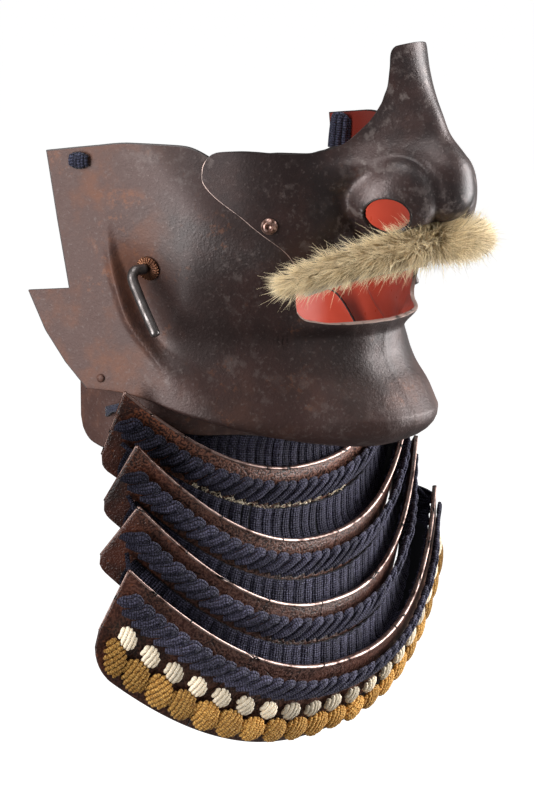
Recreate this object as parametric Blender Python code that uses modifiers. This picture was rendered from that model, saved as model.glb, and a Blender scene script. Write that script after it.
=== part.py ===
"""A samurai face guard: an iron half mask with a hanging throat guard of four laced lames.

The mask is a cheek-and-chin plate with a detachable nose plate pinned over it. A moustache hides
the upper lip. A collar plate inside the jaw carries the throat guard: four lacquered lames on
curtains of silk cord. Lengths in the tables are millimetres, for the wearer's left side, with +X
to the wearer's left, -Y ahead of the face and +Z up. Each piece with a twin is mirrored at X = 0.
The tables measure from a point in the throat. DATUM moves them to the object's origin, which is
the seat of the wearer's chin inside the mask.
"""

import math

import bmesh
import bpy
import numpy as np
from mathutils import Matrix, Vector

MM = 0.001
DATUM = np.array([0.0, 60.0, -12.0])  # from the tables' zero in the throat to the chin seat
MERGE = 0.0001  # metres, under which a turned piece's points at its axis are joined
SEAM_MERGE = 0.00001  # metres, under which a mirror joins a plate's halves
GAP = 0.4  # clearance between pieces that touch
HOLE_DEPTH = 8.0  # how far along its axis a nostril reaches for the plate

# Iron plates
FACE_THICK = 1.5
NOSE_THICK = 1.4
NOSE_PROUD = NOSE_THICK + 2 * GAP  # height of the nose plate where it laps the cheeks
COLLAR_THICK = 1.2
REAR_STRIP_Y = 17.0  # forward edge of the strip that holds the stepped rear edge
SPLAY = 0.364  # outward lean of the side panel toward the back, as a slope
FLANGE_X = 70.7  # half width of the side panel's plane at Y = 0
SIDE_NORMAL = np.array([0.94, -0.342, 0.0])

# Rear edge of the cheek plate, top to bottom: share of the plate's height, and Y
REAR_EDGE = {
    "share": (0.0, 0.292, 0.586, 0.597, 0.763, 0.895, 1.0),
    "y": (36.8, 32.9, 28.6, 44.5, 38.1, 30.5, 22.5),
}
# Top and bottom edge of the side panel, from front to back
SIDE_EDGES = {
    "y": (-24.0, -12.0, 5.0, 20.0, 37.0),
    "top": (105.0, 107.0, 107.5, 105.8, 103.4),
    "bottom": (4.5, 8.2, 13.0, 13.8, 13.8),
}
# Brim of the front: along the lower lip, up from the mouth corner, then under the nose plate
BRIM = {
    "x": (0.0, 13.9, 23.5, 30.2, 33.9, 35.6, 37.2, 40.0, 46.0, 54.0, 62.0),
    "z": (39.2, 39.5, 39.9, 40.9, 42.4, 45.4, 54.0, 68.0, 79.0, 91.0, 105.0),
}
# Lower edge of the front's outer face, where it turns under the jaw
JAW = {"x": (0.0, 25.0, 38.0, 50.0, 62.0), "z": (3.5, 3.0, 2.6, 3.4, 4.6)}
# Plan of the face at each height, without its nose: the Y at shares of the way out to the side
PLAN_SHARES = (0.0, 0.2, 0.4, 0.6, 0.8, 0.9, 1.0)
PLAN = {
    "z": (4.0, 12.0, 20.0, 27.0, 33.0, 40.0, 45.0, 57.0, 67.0, 80.0, 105.0),
    "middle": (-75.0, -69.0, -62.5, -59.5, -59.5, -62.5, -63.0, -67.0, -66.0, -66.0, -66.0),
    "lip": (-73.0, -67.0, -60.3, -57.0, -56.5, -60.6, -61.0, -64.3, -64.3, -64.5, -64.5),
    "lip_side": (-64.8, -59.7, -52.2, -49.0, -47.2, -54.2, -53.8, -57.5, -59.5, -60.9, -60.9),
    "corner": (-49.0, -45.5, -40.8, -37.5, -35.8, -40.0, -42.0, -46.6, -52.0, -54.8, -55.0),
    "cheek": (-36.3, -33.0, -29.7, -26.3, -24.6, -28.3, -30.5, -35.8, -42.0, -45.0, -45.5),
    "cheek_side": (-29.5, -26.0, -23.0, -20.3, -18.8, -22.0, -24.6, -30.0, -34.0, -36.8, -37.3),
    "side": (-20.0, -17.0, -14.0, -12.5, -12.0, -14.5, -17.0, -21.0, -23.0, -24.0, -24.0),
}
# Embossed cord guard down the side panel: its crest and the depth of the valley ahead of it
GUARD = {
    "z": (8.0, 15.0, 25.0, 37.0, 54.0, 72.0, 86.0, 97.0),
    "y": (-22.0, -16.0, -7.2, 3.0, 9.8, 13.4, 14.5, 15.0),
    "depth": (0.0, 1.6, 3.6, 4.9, 5.1, 3.8, 1.3, 0.0),
}
VALLEY = {"start": -0.6, "floor": 3.4, "end": 27.0}  # distances ahead of the crest
CREST = {"share": 0.3, "width": 2.4}  # height as a share of the valley's depth
# Flange turned in under the jaw: its inner edge, and how far it reaches in and bends down
UNDER = {
    "half_width": 49.8, "chin_y": -32.0, "side_y": -20.0, "chin_z": -9.0, "side_z": 3.0,
    "rear_reach": 3.0, "side_reach": 13.0, "rear_bend": 0.6, "side_bend": 2.5, "chin_bend": 10.5,
    "side_drop": 1.5, "knee": (0.57, 0.45),
}

# Nose plate, top to bottom: outline at the side, height on the centre line
NOSE = {
    "share": (
        0.0, 0.005, 0.012, 0.022, 0.04, 0.07, 0.16, 0.24, 0.31, 0.40, 0.49, 0.50, 0.512, 0.56, 0.66,
        0.80, 0.92, 1.0,
    ),
    "side_x": (
        8.6, 9.3, 9.9, 10.4, 10.9, 11.6, 14.6, 20.0, 28.0, 43.0, 58.0, 60.2, 61.4, 62.4, 55.5,
        44.0, 38.0, 35.0,
    ),
    "side_z": (
        143.5, 143.0, 142.4, 141.5, 139.9, 135.5, 124.0, 115.0, 108.4, 105.2, 106.0, 105.6,
        104.0, 96.0, 80.8, 67.8, 60.0, 54.0,
    ),
    "mid_z": (
        144.6, 144.2, 143.6, 142.6, 140.8, 138.0, 128.0, 119.0, 110.5, 101.0, 95.2, 94.7, 94.0,
        90.0, 82.5, 75.5, 66.0, 58.0,
    ),
}
RIDGE = {
    "z": (58.0, 66.0, 77.0, 82.0, 88.0, 94.0, 99.2, 104.4, 111.0, 118.5, 127.0, 135.0, 145.0),
    "front": (
        -61.0, -61.0, -66.0, -74.0, -84.0, -91.5, -94.4, -92.1, -87.1, -83.4, -78.7, -75.5, -73.0,
    ),
    "crest": (6.0, 6.0, 6.0, 6.0, 7.0, 8.0, 8.0, 6.5, 5.5, 5.5, 8.0, 10.5, 12.0),
    "slope": 1.6, "soft": 7.0,
}
NOSE_LAP = (21.0, 33.0)  # half widths between which the nose plate rises onto the cheeks
NOSE_TIP = {  # a ball at the first height, with a stem above it
    "z": (91.0, 97.0, 102.0, 107.0, 113.0, 120.0), "soft": 7.0, "fall": 2.0,
    "front": (-97.9, -96.5, -93.0, -86.0, -75.0, -50.0), "radius": (12.5, 12.3, 11.6, 10.5, 9.0, 8.0),
}
WING = {  # a pair runs from the cheek's side of the wing to the nose's
    "centre": (15.1, -74.4, 88.2), "high": 15.2, "turn": (-12.0, 6.0), "long": (17.2, 16.4),
    "lift": (0.0, 5.5), "proud": (10.8, 6.8), "cap": (0.95, 0.995), "soft": (3.0, 1.6),
    "fall": 14.0, "clear": (0.0, 5.0),
}
WING_LONG = np.array([-0.66, -0.75, 0.0])  # along the side of the nose
WING_OUT = np.array([0.75, -0.66, 0.0])
NOSTRIL = {"centre": (24.5, -79.0, 82.2), "axis": (0.75, -0.62, -0.2), "long": 8.8, "high": 7.4}

# Throat lames, top to bottom: their top rim and foot, each a curve X = w t, rising as |t|**CURL
CURL = 2.3
LAMES = {
    "rim_w": (82.0, 83.0, 84.3, 92.9),
    "rim_mid": ((-23.1, -22.0), (-29.7, -49.7), (-33.9, -74.9), (-40.1, -98.2)),
    "rim_end": ((-0.6, 15.7), (-7.4, -3.8), (-9.4, -26.6), (-12.5, -48.5)),
    "foot_w": (84.0, 86.0, 90.0, 107.0),
    "foot_mid": ((-18.5, -51.5), (-25.0, -79.0), (-29.5, -104.0), (-25.5, -130.4)),
    "foot_end": ((11.8, -13.6), (9.6, -30.3), (8.6, -50.0), (-2.0, -83.0)),
    "corner": (4.0, 4.0, 4.0, 12.0),
}
ARC = 1.4  # a lame's half arc over its half width
BUNCH = 1.2  # radians of a sine that bunches a lame's columns toward its steep end
LAME_THICK = 1.6
LACQUER_BAND = 4.6  # bare band between a rim and its row of loops
LOOP_BAND = 10.0
LOOP_THICK = 2.4
LOOP_END = 0.975  # how far along a lame's half its loops reach
CURTAIN_THICK = 2.0
CURTAIN_END = 0.925
CURTAIN_TUCK = 6.0  # below the rim, where a curtain meets the lame's inner face
CURTAIN_KNEE = 2.0  # above the foot of a lame, where the curtain on its face bends back
CURTAIN_BULGE = 1.6
COLLAR = {
    "x": (0.0, 20.0, 38.0, 52.0, 61.0, 66.0, 67.0, 63.8),
    "y": (-25.0, -23.5, -18.0, -10.0, -1.5, 7.5, 22.0, 40.0),
    "top": (-4.0, -3.0, 0.0, 6.0, 12.0, 20.0, 33.0, 34.0),
    "bottom": (-12.0, -8.5, -5.5, -4.5, -2.0, 1.0, -12.0, -9.0),
}
COLLAR_LACED = 6  # columns of the collar's table ahead of its rear tabs
COLLAR_SPREAD = 73.0  # half width of the collar that would match a lame's half width
SIDE_LACE = {  # shares of a lame's half width, and distances down the lames
    "radius": 1.1, "start": 0.955, "from": 16.6, "end": 0.975, "to": 4.0, "bow": 0.6,
}
CORD_THICK = 0.8  # cord that joins a row of knots
WHITE_KNOTS = {"down": 19.2, "end": 0.93, "count": 19, "size": 7.0, "crown": 4.4, "proud": 3.4}
GOLD_KNOTS = {"down": 28.0, "end": 0.94, "count": 20, "size": 10.0, "crown": 6.2, "proud": 3.8}

# Fittings on the wearer's left. A turned profile is (radius, height) from the top down.
TEMPLE_HOLE = {"y": 23.8, "z": 100.3, "radius": 3.0, "depth": 16.0}
TEMPLE_KNOT = ((0.0, 2.4), (1.6, 2.3), (3.2, 1.6), (3.5, 0.5), (2.5, 0.5), (2.5, -2.2))
TEMPLE_BUNDLE = ((3.8, -2.3), (4.2, -7.0), (3.6, -12.0), (1.5, -13.0), (0.0, -13.0))
HOOK = {"y": -1.0, "z": 60.7, "radius": 1.75, "tip": 0.75}
HOOK_WASHER = ((0.0, 1.7), (2.4, 1.7), (4.2, 1.7), (4.7, 1.3), (4.7, 0.7), (0.0, 0.7))
HOOK_ROUTE = (
    (2.6, -0.3, 0.0), (7.0, 0.3, -0.2), (9.0, 0.0, -2.2), (9.6, -3.2, -8.0), (9.8, -12.5, -23.0),
)
STUD_SEAT = {"x": 50.3, "z": 79.0}
STUD = ((0.0, 2.0), (1.0, 1.9), (2.2, 1.5), (2.8, 0.9), (2.9, 0.4), (0.0, 0.4))
RIVET_SEAT = {"y": 16.7, "z": 18.0}
RIVET = ((0.0, 1.4), (0.9, 1.3), (1.9, 0.9), (2.1, 0.4), (0.0, 0.4))
MOUSTACHE = {
    "radius": 7.2,
    "left": ((2.5, -84.5, 70.0), (9.0, -86.0, 69.5), (21.0, -84.5, 69.5), (32.5, -80.5, 70.0)),
    "right": ((2.5, -84.5, 70.0), (18.0, -83.0, 68.5), (36.0, -70.8, 63.5), (54.0, -53.0, 54.5)),
    "tip": 0.6,
}
TUBE_SPACING = 3.0  # between points along a tube

# Base colour, roughness and metallic value
COLOURS = {
    "iron": ((0.045, 0.030, 0.027), 0.45, 0.6),
    "nose_iron": ((0.035, 0.026, 0.025), 0.35, 0.6),
    "copper": ((0.25, 0.12, 0.08), 0.4, 1.0),
    "lacquer": ((0.10, 0.035, 0.022), 0.3, 0.0),
    "indigo": ((0.022, 0.026, 0.045), 0.9, 0.0),
    "white_silk": ((0.62, 0.55, 0.45), 0.9, 0.0),
    "gold_silk": ((0.55, 0.33, 0.09), 0.9, 0.0),
    "fur": ((0.62, 0.50, 0.31), 0.9, 0.0),
}


def unit(vectors):
    """The vectors, one to a row, at length 1."""
    return vectors / np.linalg.norm(vectors, axis=-1, keepdims=True)


def ease(xs, ys, x):
    """A smooth curve through the points (xs, ys) that doesn't overshoot them, read at x. ys may
    hold a curve for each x, along its last axis."""
    xs, ys, x = np.asarray(xs, float), np.asarray(ys, float), np.asarray(x, float)
    step = np.diff(xs)
    rise = np.diff(ys) / step
    mean = (step[1:] * rise[..., :-1] + step[:-1] * rise[..., 1:]) / (step[1:] + step[:-1])
    limit = 3 * np.minimum(abs(rise[..., :-1]), abs(rise[..., 1:]))
    turns = rise[..., :-1] * rise[..., 1:] <= 0
    inner = np.where(turns, 0.0, np.sign(mean) * np.minimum(abs(mean), limit))
    slope = np.concatenate([rise[..., :1], inner, rise[..., -1:]], axis=-1)
    x = np.clip(x, xs[0], xs[-1])
    cell = np.clip(np.searchsorted(xs, x, side="right") - 1, 0, len(xs) - 2)
    width = step[cell]
    u = (x - xs[cell]) / width
    value = pick(ys, cell) * (1 + 2 * u) * (1 - u) ** 2 + pick(ys, cell + 1) * u * u * (3 - 2 * u)
    bend = pick(slope, cell) * (1 - u) - pick(slope, cell + 1) * u
    return value + width * u * (1 - u) * bend


def pick(values, index):
    """The values at an index, from one shared row or from a row for each index."""
    if values.ndim == 1:
        return values[index]
    return np.take_along_axis(values, index[..., None], axis=-1)[..., 0]


def ramp(low, high, x):
    """0 up to low, 1 from high, and smooth between."""
    u = np.clip((x - low) / (high - low), 0.0, 1.0)
    return u * u * (3 - 2 * u)


def side_y(z):
    """Forward reach of the flat side panel, where the face starts to curve to the front."""
    return ease(PLAN["z"], PLAN["side"], z)


def face_y(x, z):
    """The face with its chin, lip and the hollow of the cheek, but no nose. Past the side panel's
    forward edge it goes on along the panel."""
    columns = np.stack([ease(PLAN["z"], PLAN[name], z) for name in list(PLAN)[1:]], axis=-1)
    side_x = FLANGE_X + SPLAY * columns[..., -1]
    return ease(PLAN_SHARES, columns, x / side_x) + np.maximum(x - side_x, 0) / SPLAY


def face_normal(x, z):
    """Outward direction of the plain face."""
    across = face_y(x + 0.5, z) - face_y(x - 0.5, z)
    up = face_y(x, z + 0.5) - face_y(x, z - 0.5)
    normal = np.stack([across, -np.ones_like(across), up], axis=-1)
    return normal / np.linalg.norm(normal, axis=-1, keepdims=True)


def swell_wing(points):
    """Pushes the nostril's wing out of the side of the nose, as the cap of an ellipsoid. It runs
    softly into the cheek, and meets the nose steeply, in a groove."""
    local = points - np.array(WING["centre"])
    along, proud = local @ WING_LONG, local @ WING_OUT
    inward = ramp(*WING["turn"], along)
    long, lift, height, cap, soft = (
        WING[key][0] + (WING[key][1] - WING[key][0]) * inward
        for key in ("long", "lift", "proud", "cap", "soft")
    )
    inside = 1 - cap**2 * ((along / long) ** 2 + (local[..., 2] / WING["high"]) ** 2)
    level = np.sqrt(1 - cap**2)
    dome = lift + height * (np.sqrt(np.maximum(inside, 0)) - level) / (1 - level)
    dome = dome - WING["fall"] * np.sqrt(np.maximum(-inside, 0))
    raised = -blend_forward(-dome, -proud, soft)
    return points + (raised - proud)[..., None] * WING_OUT


def tip_y(x, z):
    """The nose's tip, a ball that runs up into the ridge as a round stem."""
    radius = ease(NOSE_TIP["z"], NOSE_TIP["radius"], z)
    below = np.minimum(z - NOSE_TIP["z"][0], 0)
    inside = radius**2 - x**2 - below**2
    centre = ease(NOSE_TIP["z"], NOSE_TIP["front"], z) + radius
    fall = NOSE_TIP["fall"] * np.sqrt(np.maximum(-inside, 0))
    return centre - np.sqrt(np.maximum(inside, 0)) + fall


def blend_forward(first, second, soft):
    """The foremost of two surfaces, rounded over a distance where they cross."""
    near = np.maximum(soft - abs(first - second), 0.0) / soft
    return np.minimum(first, second) - near * near * soft / 4


def nose_y(x, z):
    """The face with the nose's ridge, a rounded crest with straight sides, and its tip."""
    crest = RIDGE["slope"] * ease(RIDGE["z"], RIDGE["crest"], z)
    back = RIDGE["slope"] * (np.sqrt(crest**2 + x**2) - crest)
    bridge = blend_forward(face_y(x, z), ease(RIDGE["z"], RIDGE["front"], z) + back, RIDGE["soft"])
    return blend_forward(bridge, tip_y(x, z), NOSE_TIP["soft"])


def emboss(points):
    """Pushes the side panel in ahead of the cord guard, and its crest a little out."""
    y, z = points[..., 1], points[..., 2]
    ahead = ease(GUARD["z"], GUARD["y"], z) - y
    depth = ease(GUARD["z"], GUARD["depth"], z)
    valley = ramp(VALLEY["start"], VALLEY["floor"], ahead)
    valley = valley * (1 - ramp(VALLEY["floor"], VALLEY["end"], ahead))
    crest = CREST["share"] * np.exp(-((ahead / CREST["width"]) ** 2))
    return points + (depth * (crest - valley))[..., None] * SIDE_NORMAL


def on_side(y, z):
    """The point on the side panel's outer face at (y, z)."""
    return emboss(np.array([FLANGE_X + SPLAY * y, y, z]))


def side_normal(y, z):
    """Outward direction of the embossed side panel at (y, z)."""
    forward = on_side(y - 0.5, z) - on_side(y + 0.5, z)
    down = on_side(y, z - 0.5) - on_side(y, z + 0.5)
    normal = np.cross(forward, down)
    return normal / np.linalg.norm(normal)


def face_surface(across, down, under):
    """The cheek-and-chin plate's outer face. across runs 0 at the rear edge, 1 ahead of the rear
    strip, 2 where the side panel ends, 3 at the centre line; down runs 0 at the brim to 1 at the
    jaw, and under from 0 there to 1 at the throat."""
    s, level = np.meshgrid(across, down, indexing="ij")
    strip, side, front = np.clip(s, 0, 1), np.clip(s - 1, 0, 1), np.clip(s - 2, 0, 1)
    rear = np.interp(level, REAR_EDGE["share"], REAR_EDGE["y"])
    z = SIDE_EDGES["top"][-1] + (SIDE_EDGES["bottom"][-1] - SIDE_EDGES["top"][-1]) * level
    for _ in range(3):
        y_side = rear + (REAR_STRIP_Y - rear) * strip + (side_y(z) - REAR_STRIP_Y) * side
        x = (FLANGE_X + SPLAY * y_side) * (1 - front)
        panel_top = ease(SIDE_EDGES["y"], SIDE_EDGES["top"], y_side)
        panel_low = ease(SIDE_EDGES["y"], SIDE_EDGES["bottom"], y_side)
        top = np.where(front > 0, np.interp(x, BRIM["x"], BRIM["z"]), panel_top)
        low = np.where(front > 0, ease(JAW["x"], JAW["z"], x), panel_low)
        z = top + (low - top) * level
    y = np.where(front > 0, face_y(x, z), y_side)
    wall = emboss(np.stack([x, y, z], axis=-1))
    return np.concatenate([wall, flange(wall[:, -1], across, under[1:])], axis=1)


def flange(jaw, across, under):
    """The face's foot, a Bezier curve from the jaw down and back to the throat's edge."""
    side, wide = np.clip(across - 1, 0, 1), 1 - np.clip(across - 2, 0, 1)
    reach = UNDER["rear_reach"] + (UNDER["side_reach"] - UNDER["rear_reach"]) * side**3
    inward = jaw - reach[:, None] * SIDE_NORMAL
    inward[:, 2] -= UNDER["side_drop"] * side
    chin = np.stack([
        UNDER["half_width"] * wide,
        UNDER["chin_y"] + (UNDER["side_y"] - UNDER["chin_y"]) * wide**2,
        UNDER["chin_z"] + (UNDER["side_z"] - UNDER["chin_z"]) * wide**1.5,
    ], axis=-1)
    throat = np.where(wide[:, None] < 1, chin, inward)
    bend = UNDER["rear_bend"] + (UNDER["side_bend"] - UNDER["rear_bend"]) * side
    bend = bend + (UNDER["chin_bend"] - UNDER["side_bend"]) * (1 - wide**2)
    down = np.stack([0 * bend, 0 * bend, bend], axis=-1)
    out, lower = UNDER["knee"]
    knee = throat + out * (jaw - throat) * np.array([1, 1, 0]) - lower * down
    jaw, down, knee, throat = jaw[:, None], down[:, None], knee[:, None], throat[:, None]
    u = np.asarray(under)[:, None]
    first = jaw * (1 - u) ** 3 + 3 * (jaw - down) * u * (1 - u) ** 2
    return first + 3 * knee * u * u * (1 - u) + throat * u**3


def nose_surface(across, down):
    """The nose plate's outer face. across runs 0 at its side edge to 1 at the centre line. Its
    side lies on the cheek plate, so there it stands out by its thickness."""
    p, q = np.meshgrid(across, down, indexing="ij")
    side_x = ease(NOSE["share"], NOSE["side_x"], q)
    side_z = ease(NOSE["share"], NOSE["side_z"], q)
    mid_z = ease(NOSE["share"], NOSE["mid_z"], q)
    x = side_x * (1 - p)
    z = side_z + (mid_z - side_z) * (1 - (1 - p) ** 2)
    points = np.stack([x, nose_y(x, z), z], axis=-1)
    points += ramp(*WING["clear"], x)[..., None] * (swell_wing(points) - points)
    return points + (NOSE_PROUD * ramp(*NOSE_LAP, x))[..., None] * face_normal(x, z)


def spread_evenly(grid, count):
    """The grid with its columns moved along each row, so that they stand an even distance apart."""
    steps = np.linalg.norm(np.diff(grid, axis=0), axis=-1)
    arc = np.concatenate([np.zeros((1, grid.shape[1])), np.cumsum(steps, axis=0)])
    rows = []
    for j in range(grid.shape[1]):
        at = np.linspace(0.0, arc[-1, j], count)
        rows.append(np.stack([np.interp(at, arc[:, j], grid[:, j, k]) for k in range(3)], axis=-1))
    return np.stack(rows, axis=1)


def lame_height(index):
    return math.dist(LAMES["rim_mid"][index], LAMES["foot_mid"][index])


def lame_surface(index, t, v):
    """A lame's outer face: t runs 0 at the centre to 1 at its end, v 0 at the rim to 1 at the
    foot, whose corner is rounded."""
    corner = LAMES["corner"][index]
    near_end = np.clip(corner - (1 - t) * ARC * LAMES["rim_w"][index], 0, corner)
    v = v * (1 - (corner - np.sqrt(corner**2 - near_end**2)) / lame_height(index))
    rim = lame_edge("rim", index, t)
    return rim + (lame_edge("foot", index, t) - rim) * v[..., None]


def lame_edge(name, index, t):
    mid, end = LAMES[name + "_mid"][index], LAMES[name + "_end"][index]
    rise = t**CURL
    y = mid[0] + (end[0] - mid[0]) * rise
    z = mid[1] + (end[1] - mid[1]) * rise
    return np.stack([LAMES[name + "_w"][index] * t, y, z], axis=-1)


def lame_normal(index, t, v):
    step = 1e-3
    along = lame_surface(index, t + step, v) - lame_surface(index, abs(t - step), v)
    along = np.where((t < step)[..., None], np.array([1.0, 0.0, 0.0]), along)
    down = lame_surface(index, t, v + step) - lame_surface(index, t, v - step)
    normal = np.cross(down, along)
    return normal / np.linalg.norm(normal, axis=-1, keepdims=True)


def on_lame(index, t, down, out=0.0):
    """The point a distance down a lame from its rim, and out from its face."""
    t, v = np.broadcast_arrays(np.asarray(t, float), np.asarray(down, float) / lame_height(index))
    return lame_surface(index, t, v) + out * lame_normal(index, t, v)


def bunched(count, end=1.0):
    """Positions along a lame's half, closer together toward its steep end."""
    return end * np.sin(np.linspace(0, 1, count) * BUNCH) / math.sin(BUNCH)


def collar_lower(t):
    """The collar's lower edge, in step with a lame's half from t = 0 at the centre."""
    x = COLLAR_SPREAD * t
    knots, ahead, low = (COLLAR[key][:COLLAR_LACED] for key in ("x", "y", "bottom"))
    return np.stack([x, ease(knots, ahead, x), ease(knots, low, x)], axis=-1)


def metres(points):
    return (np.asarray(points, float) + DATUM) * MM


def mirrored(points, sign):
    """The points on the wearer's left for sign 1, or their twins on the right for -1."""
    return np.asarray(points, float) * np.array([sign, 1, 1])


def add(name, data, colour):
    """A new object, in its material's colour."""
    rgb, roughness, metallic = COLOURS[colour]
    material = bpy.data.materials.get(colour) or bpy.data.materials.new(colour)
    material.use_nodes = True
    shader = material.node_tree.nodes["Principled BSDF"]
    shader.inputs["Base Color"].default_value = (*rgb, 1.0)
    shader.inputs["Roughness"].default_value = roughness
    shader.inputs["Metallic"].default_value = metallic
    material.diffuse_color = (*rgb, 1.0)
    data.materials.append(material)
    obj = bpy.data.objects.new(name, data)
    bpy.data.collections["face_guard"].objects.link(obj)
    return obj


def place(obj, centre, axis):
    """Stands an object on a point, with its own Z along a direction."""
    turn = Vector(axis).to_track_quat("Z", "Y").to_matrix().to_4x4()
    obj.matrix_world = Matrix.Translation(metres(centre)) @ turn


def sheet(name, grid, thick, colour, offset=-1.0, holes=()):
    """A wall from a half grid of points on its outer face, pierced, mirrored and thickened."""
    columns, rows = grid.shape[:2]
    corner = np.arange(columns * rows).reshape(columns, rows)
    faces = np.stack([corner[:-1, :-1], corner[1:, :-1], corner[1:, 1:], corner[:-1, 1:]], axis=-1)
    points, faces = pierce(grid.reshape(-1, 3), faces.reshape(-1, 4), holes)
    mesh = bpy.data.meshes.new(name)
    mesh.from_pydata(metres(points).tolist(), [], faces.tolist())
    mesh.shade_smooth()
    obj = add(name, mesh, colour)
    mirror = obj.modifiers.new("mirror", "MIRROR")
    mirror.merge_threshold = SEAM_MERGE
    solid = obj.modifiers.new("thickness", "SOLIDIFY")
    solid.thickness = thick * MM
    solid.offset = offset
    return obj


def pierce(points, faces, holes):
    """Takes oval holes, each (centre, axis, half width, half height), out of a surface. The
    corners round a hole move onto its edge."""
    points = points.copy()
    for centre, axis, wide, high in holes:
        axis = unit(np.array(axis))
        level = unit(np.cross([0.0, 0.0, 1.0], axis))
        local = points - centre
        depth = local @ axis
        reach = np.hypot(local @ level / wide, local @ np.cross(axis, level) / high)
        inside = (reach[faces].mean(axis=1) < 1) & (abs(depth[faces[:, 0]]) < HOLE_DEPTH)
        edge = np.intersect1d(faces[inside], faces[~inside])
        faces = faces[~inside]
        outward = local[edge] - depth[edge, None] * axis
        points[edge] += (1 / reach[edge, None] - 1) * outward
    used, index = np.unique(faces, return_inverse=True)
    return points[used], index.reshape(-1, 4)


def tube(name, points, radius, colour, tip=1.0):
    """A cord, wire or roll of fur along a smooth curve through the points. tip is the end's
    radius as a share of the start's."""
    points = smooth_route(points)
    curve = bpy.data.curves.new(name, "CURVE")
    curve.dimensions = "3D"
    curve.bevel_depth = radius * MM
    curve.bevel_resolution = 2
    curve.use_fill_caps = True
    spline = curve.splines.new("POLY")
    spline.points.add(len(points) - 1)
    shares = np.linspace(1.0, tip, len(points))
    for point, centre, share in zip(spline.points, metres(points), shares):
        point.co = (*centre, 1.0)
        point.radius = share
    return add(name, curve, colour)


def smooth_route(points):
    """Points at an even spacing on a smooth curve through the given ones."""
    points = np.asarray(points, float)
    steps = np.linalg.norm(np.diff(points, axis=0), axis=1)
    knots = np.concatenate([[0.0], np.cumsum(steps)])
    count = max(4, int(knots[-1] / TUBE_SPACING) + 1)
    at = np.linspace(0.0, knots[-1], count)
    return np.stack([ease(knots, points[:, k], at) for k in range(3)], axis=-1)


def turned(name, profile, colour, steps=16):
    """A round piece from its profile at +X, which runs from the top down its outer side."""
    points = [(radius * MM, 0.0, height * MM) for radius, height in profile]
    edges = [(k, k + 1) for k in range(len(points) - 1)]
    mesh = bpy.data.meshes.new(name)
    mesh.from_pydata(points, edges, [])
    obj = add(name, mesh, colour)
    screw = obj.modifiers.new("turn", "SCREW")
    screw.steps = steps
    screw.render_steps = steps
    screw.use_merge_vertices = True
    screw.merge_threshold = MERGE
    return obj


def drill(obj, centre, axis, radius, depth):
    """Cuts a round hole through a plate, along an axis."""
    work = bmesh.new()
    bmesh.ops.create_cone(
        work, cap_ends=True, segments=20, radius1=radius * MM, radius2=radius * MM,
        depth=depth * MM,
    )
    cutter = helper(obj.name + "_hole", work)
    place(cutter, centre, axis)
    cut = obj.modifiers.new("hole", "BOOLEAN")
    cut.operation = "DIFFERENCE"
    cut.object = cutter


def helper(name, work):
    """An object that only shapes others, from a bmesh."""
    mesh = bpy.data.meshes.new(name)
    work.to_mesh(mesh)
    work.free()
    obj = bpy.data.objects.new(name, mesh)
    obj.hide_render = True
    obj.display_type = "WIRE"
    bpy.data.collections["cutters"].objects.link(obj)
    return obj


def build_face():
    """The cheek-and-chin plate, with its cord hooks and the cords through its temple holes."""
    rear, side, front = np.linspace(0, 1, 3), np.linspace(1, 2, 8), np.linspace(2, 3, 11)
    across = np.concatenate([rear, side[1:], front[1:]])
    down = np.array([0, 0.15, 0.292, 0.39, 0.49, 0.586, 0.597, 0.68, 0.763, 0.83, 0.895, 1.0])
    wall = face_surface(across, down, np.linspace(0, 1, 4))
    face = sheet("face_plate", wall, FACE_THICK, "iron")
    temple = on_side(TEMPLE_HOLE["y"], TEMPLE_HOLE["z"])
    seat = on_side(HOOK["y"], HOOK["z"])
    radius = TEMPLE_HOLE["radius"]
    for side, sign in (("left", 1), ("right", -1)):
        centre, axis = mirrored(temple, sign), mirrored(SIDE_NORMAL, sign)
        drill(face, centre, axis, radius, TEMPLE_HOLE["depth"])
        cord = turned(f"temple_cord_{side}", TEMPLE_KNOT + TEMPLE_BUNDLE, "indigo", steps=12)
        place(cord, centre, axis)
        washer = turned(f"hook_washer_{side}", HOOK_WASHER, "copper")
        place(washer, mirrored(seat, sign), mirrored(side_normal(HOOK["y"], HOOK["z"]), sign))
        route = mirrored(seat + np.array(HOOK_ROUTE), sign)
        tube(f"cord_hook_{side}", route, HOOK["radius"], "iron", tip=HOOK["tip"])


def build_nose():
    """The nose plate, the studs that pin it to the cheeks and the moustache under it."""
    grid = spread_evenly(nose_surface(np.linspace(0, 1, 200), np.linspace(0, 1, 160)), 24)
    grid = spread_evenly(grid.swapaxes(0, 1), 34).swapaxes(0, 1)
    nostril = (NOSTRIL["centre"], NOSTRIL["axis"], NOSTRIL["long"], NOSTRIL["high"])
    sheet("nose_plate", grid, NOSE_THICK, "nose_iron", holes=[nostril])
    x, z = STUD_SEAT["x"], STUD_SEAT["z"]
    normal = face_normal(np.array(x), np.array(z))
    seat = np.array([x, float(face_y(x, z)), z]) + NOSE_PROUD * normal
    for side, sign in (("left", 1), ("right", -1)):
        stud = turned(f"nose_stud_{side}", STUD, "copper", steps=12)
        place(stud, mirrored(seat, sign), mirrored(normal, sign))
        route = mirrored(MOUSTACHE[side], sign)
        tube(f"moustache_{side}", route, MOUSTACHE["radius"], "fur", tip=MOUSTACHE["tip"])


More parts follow.
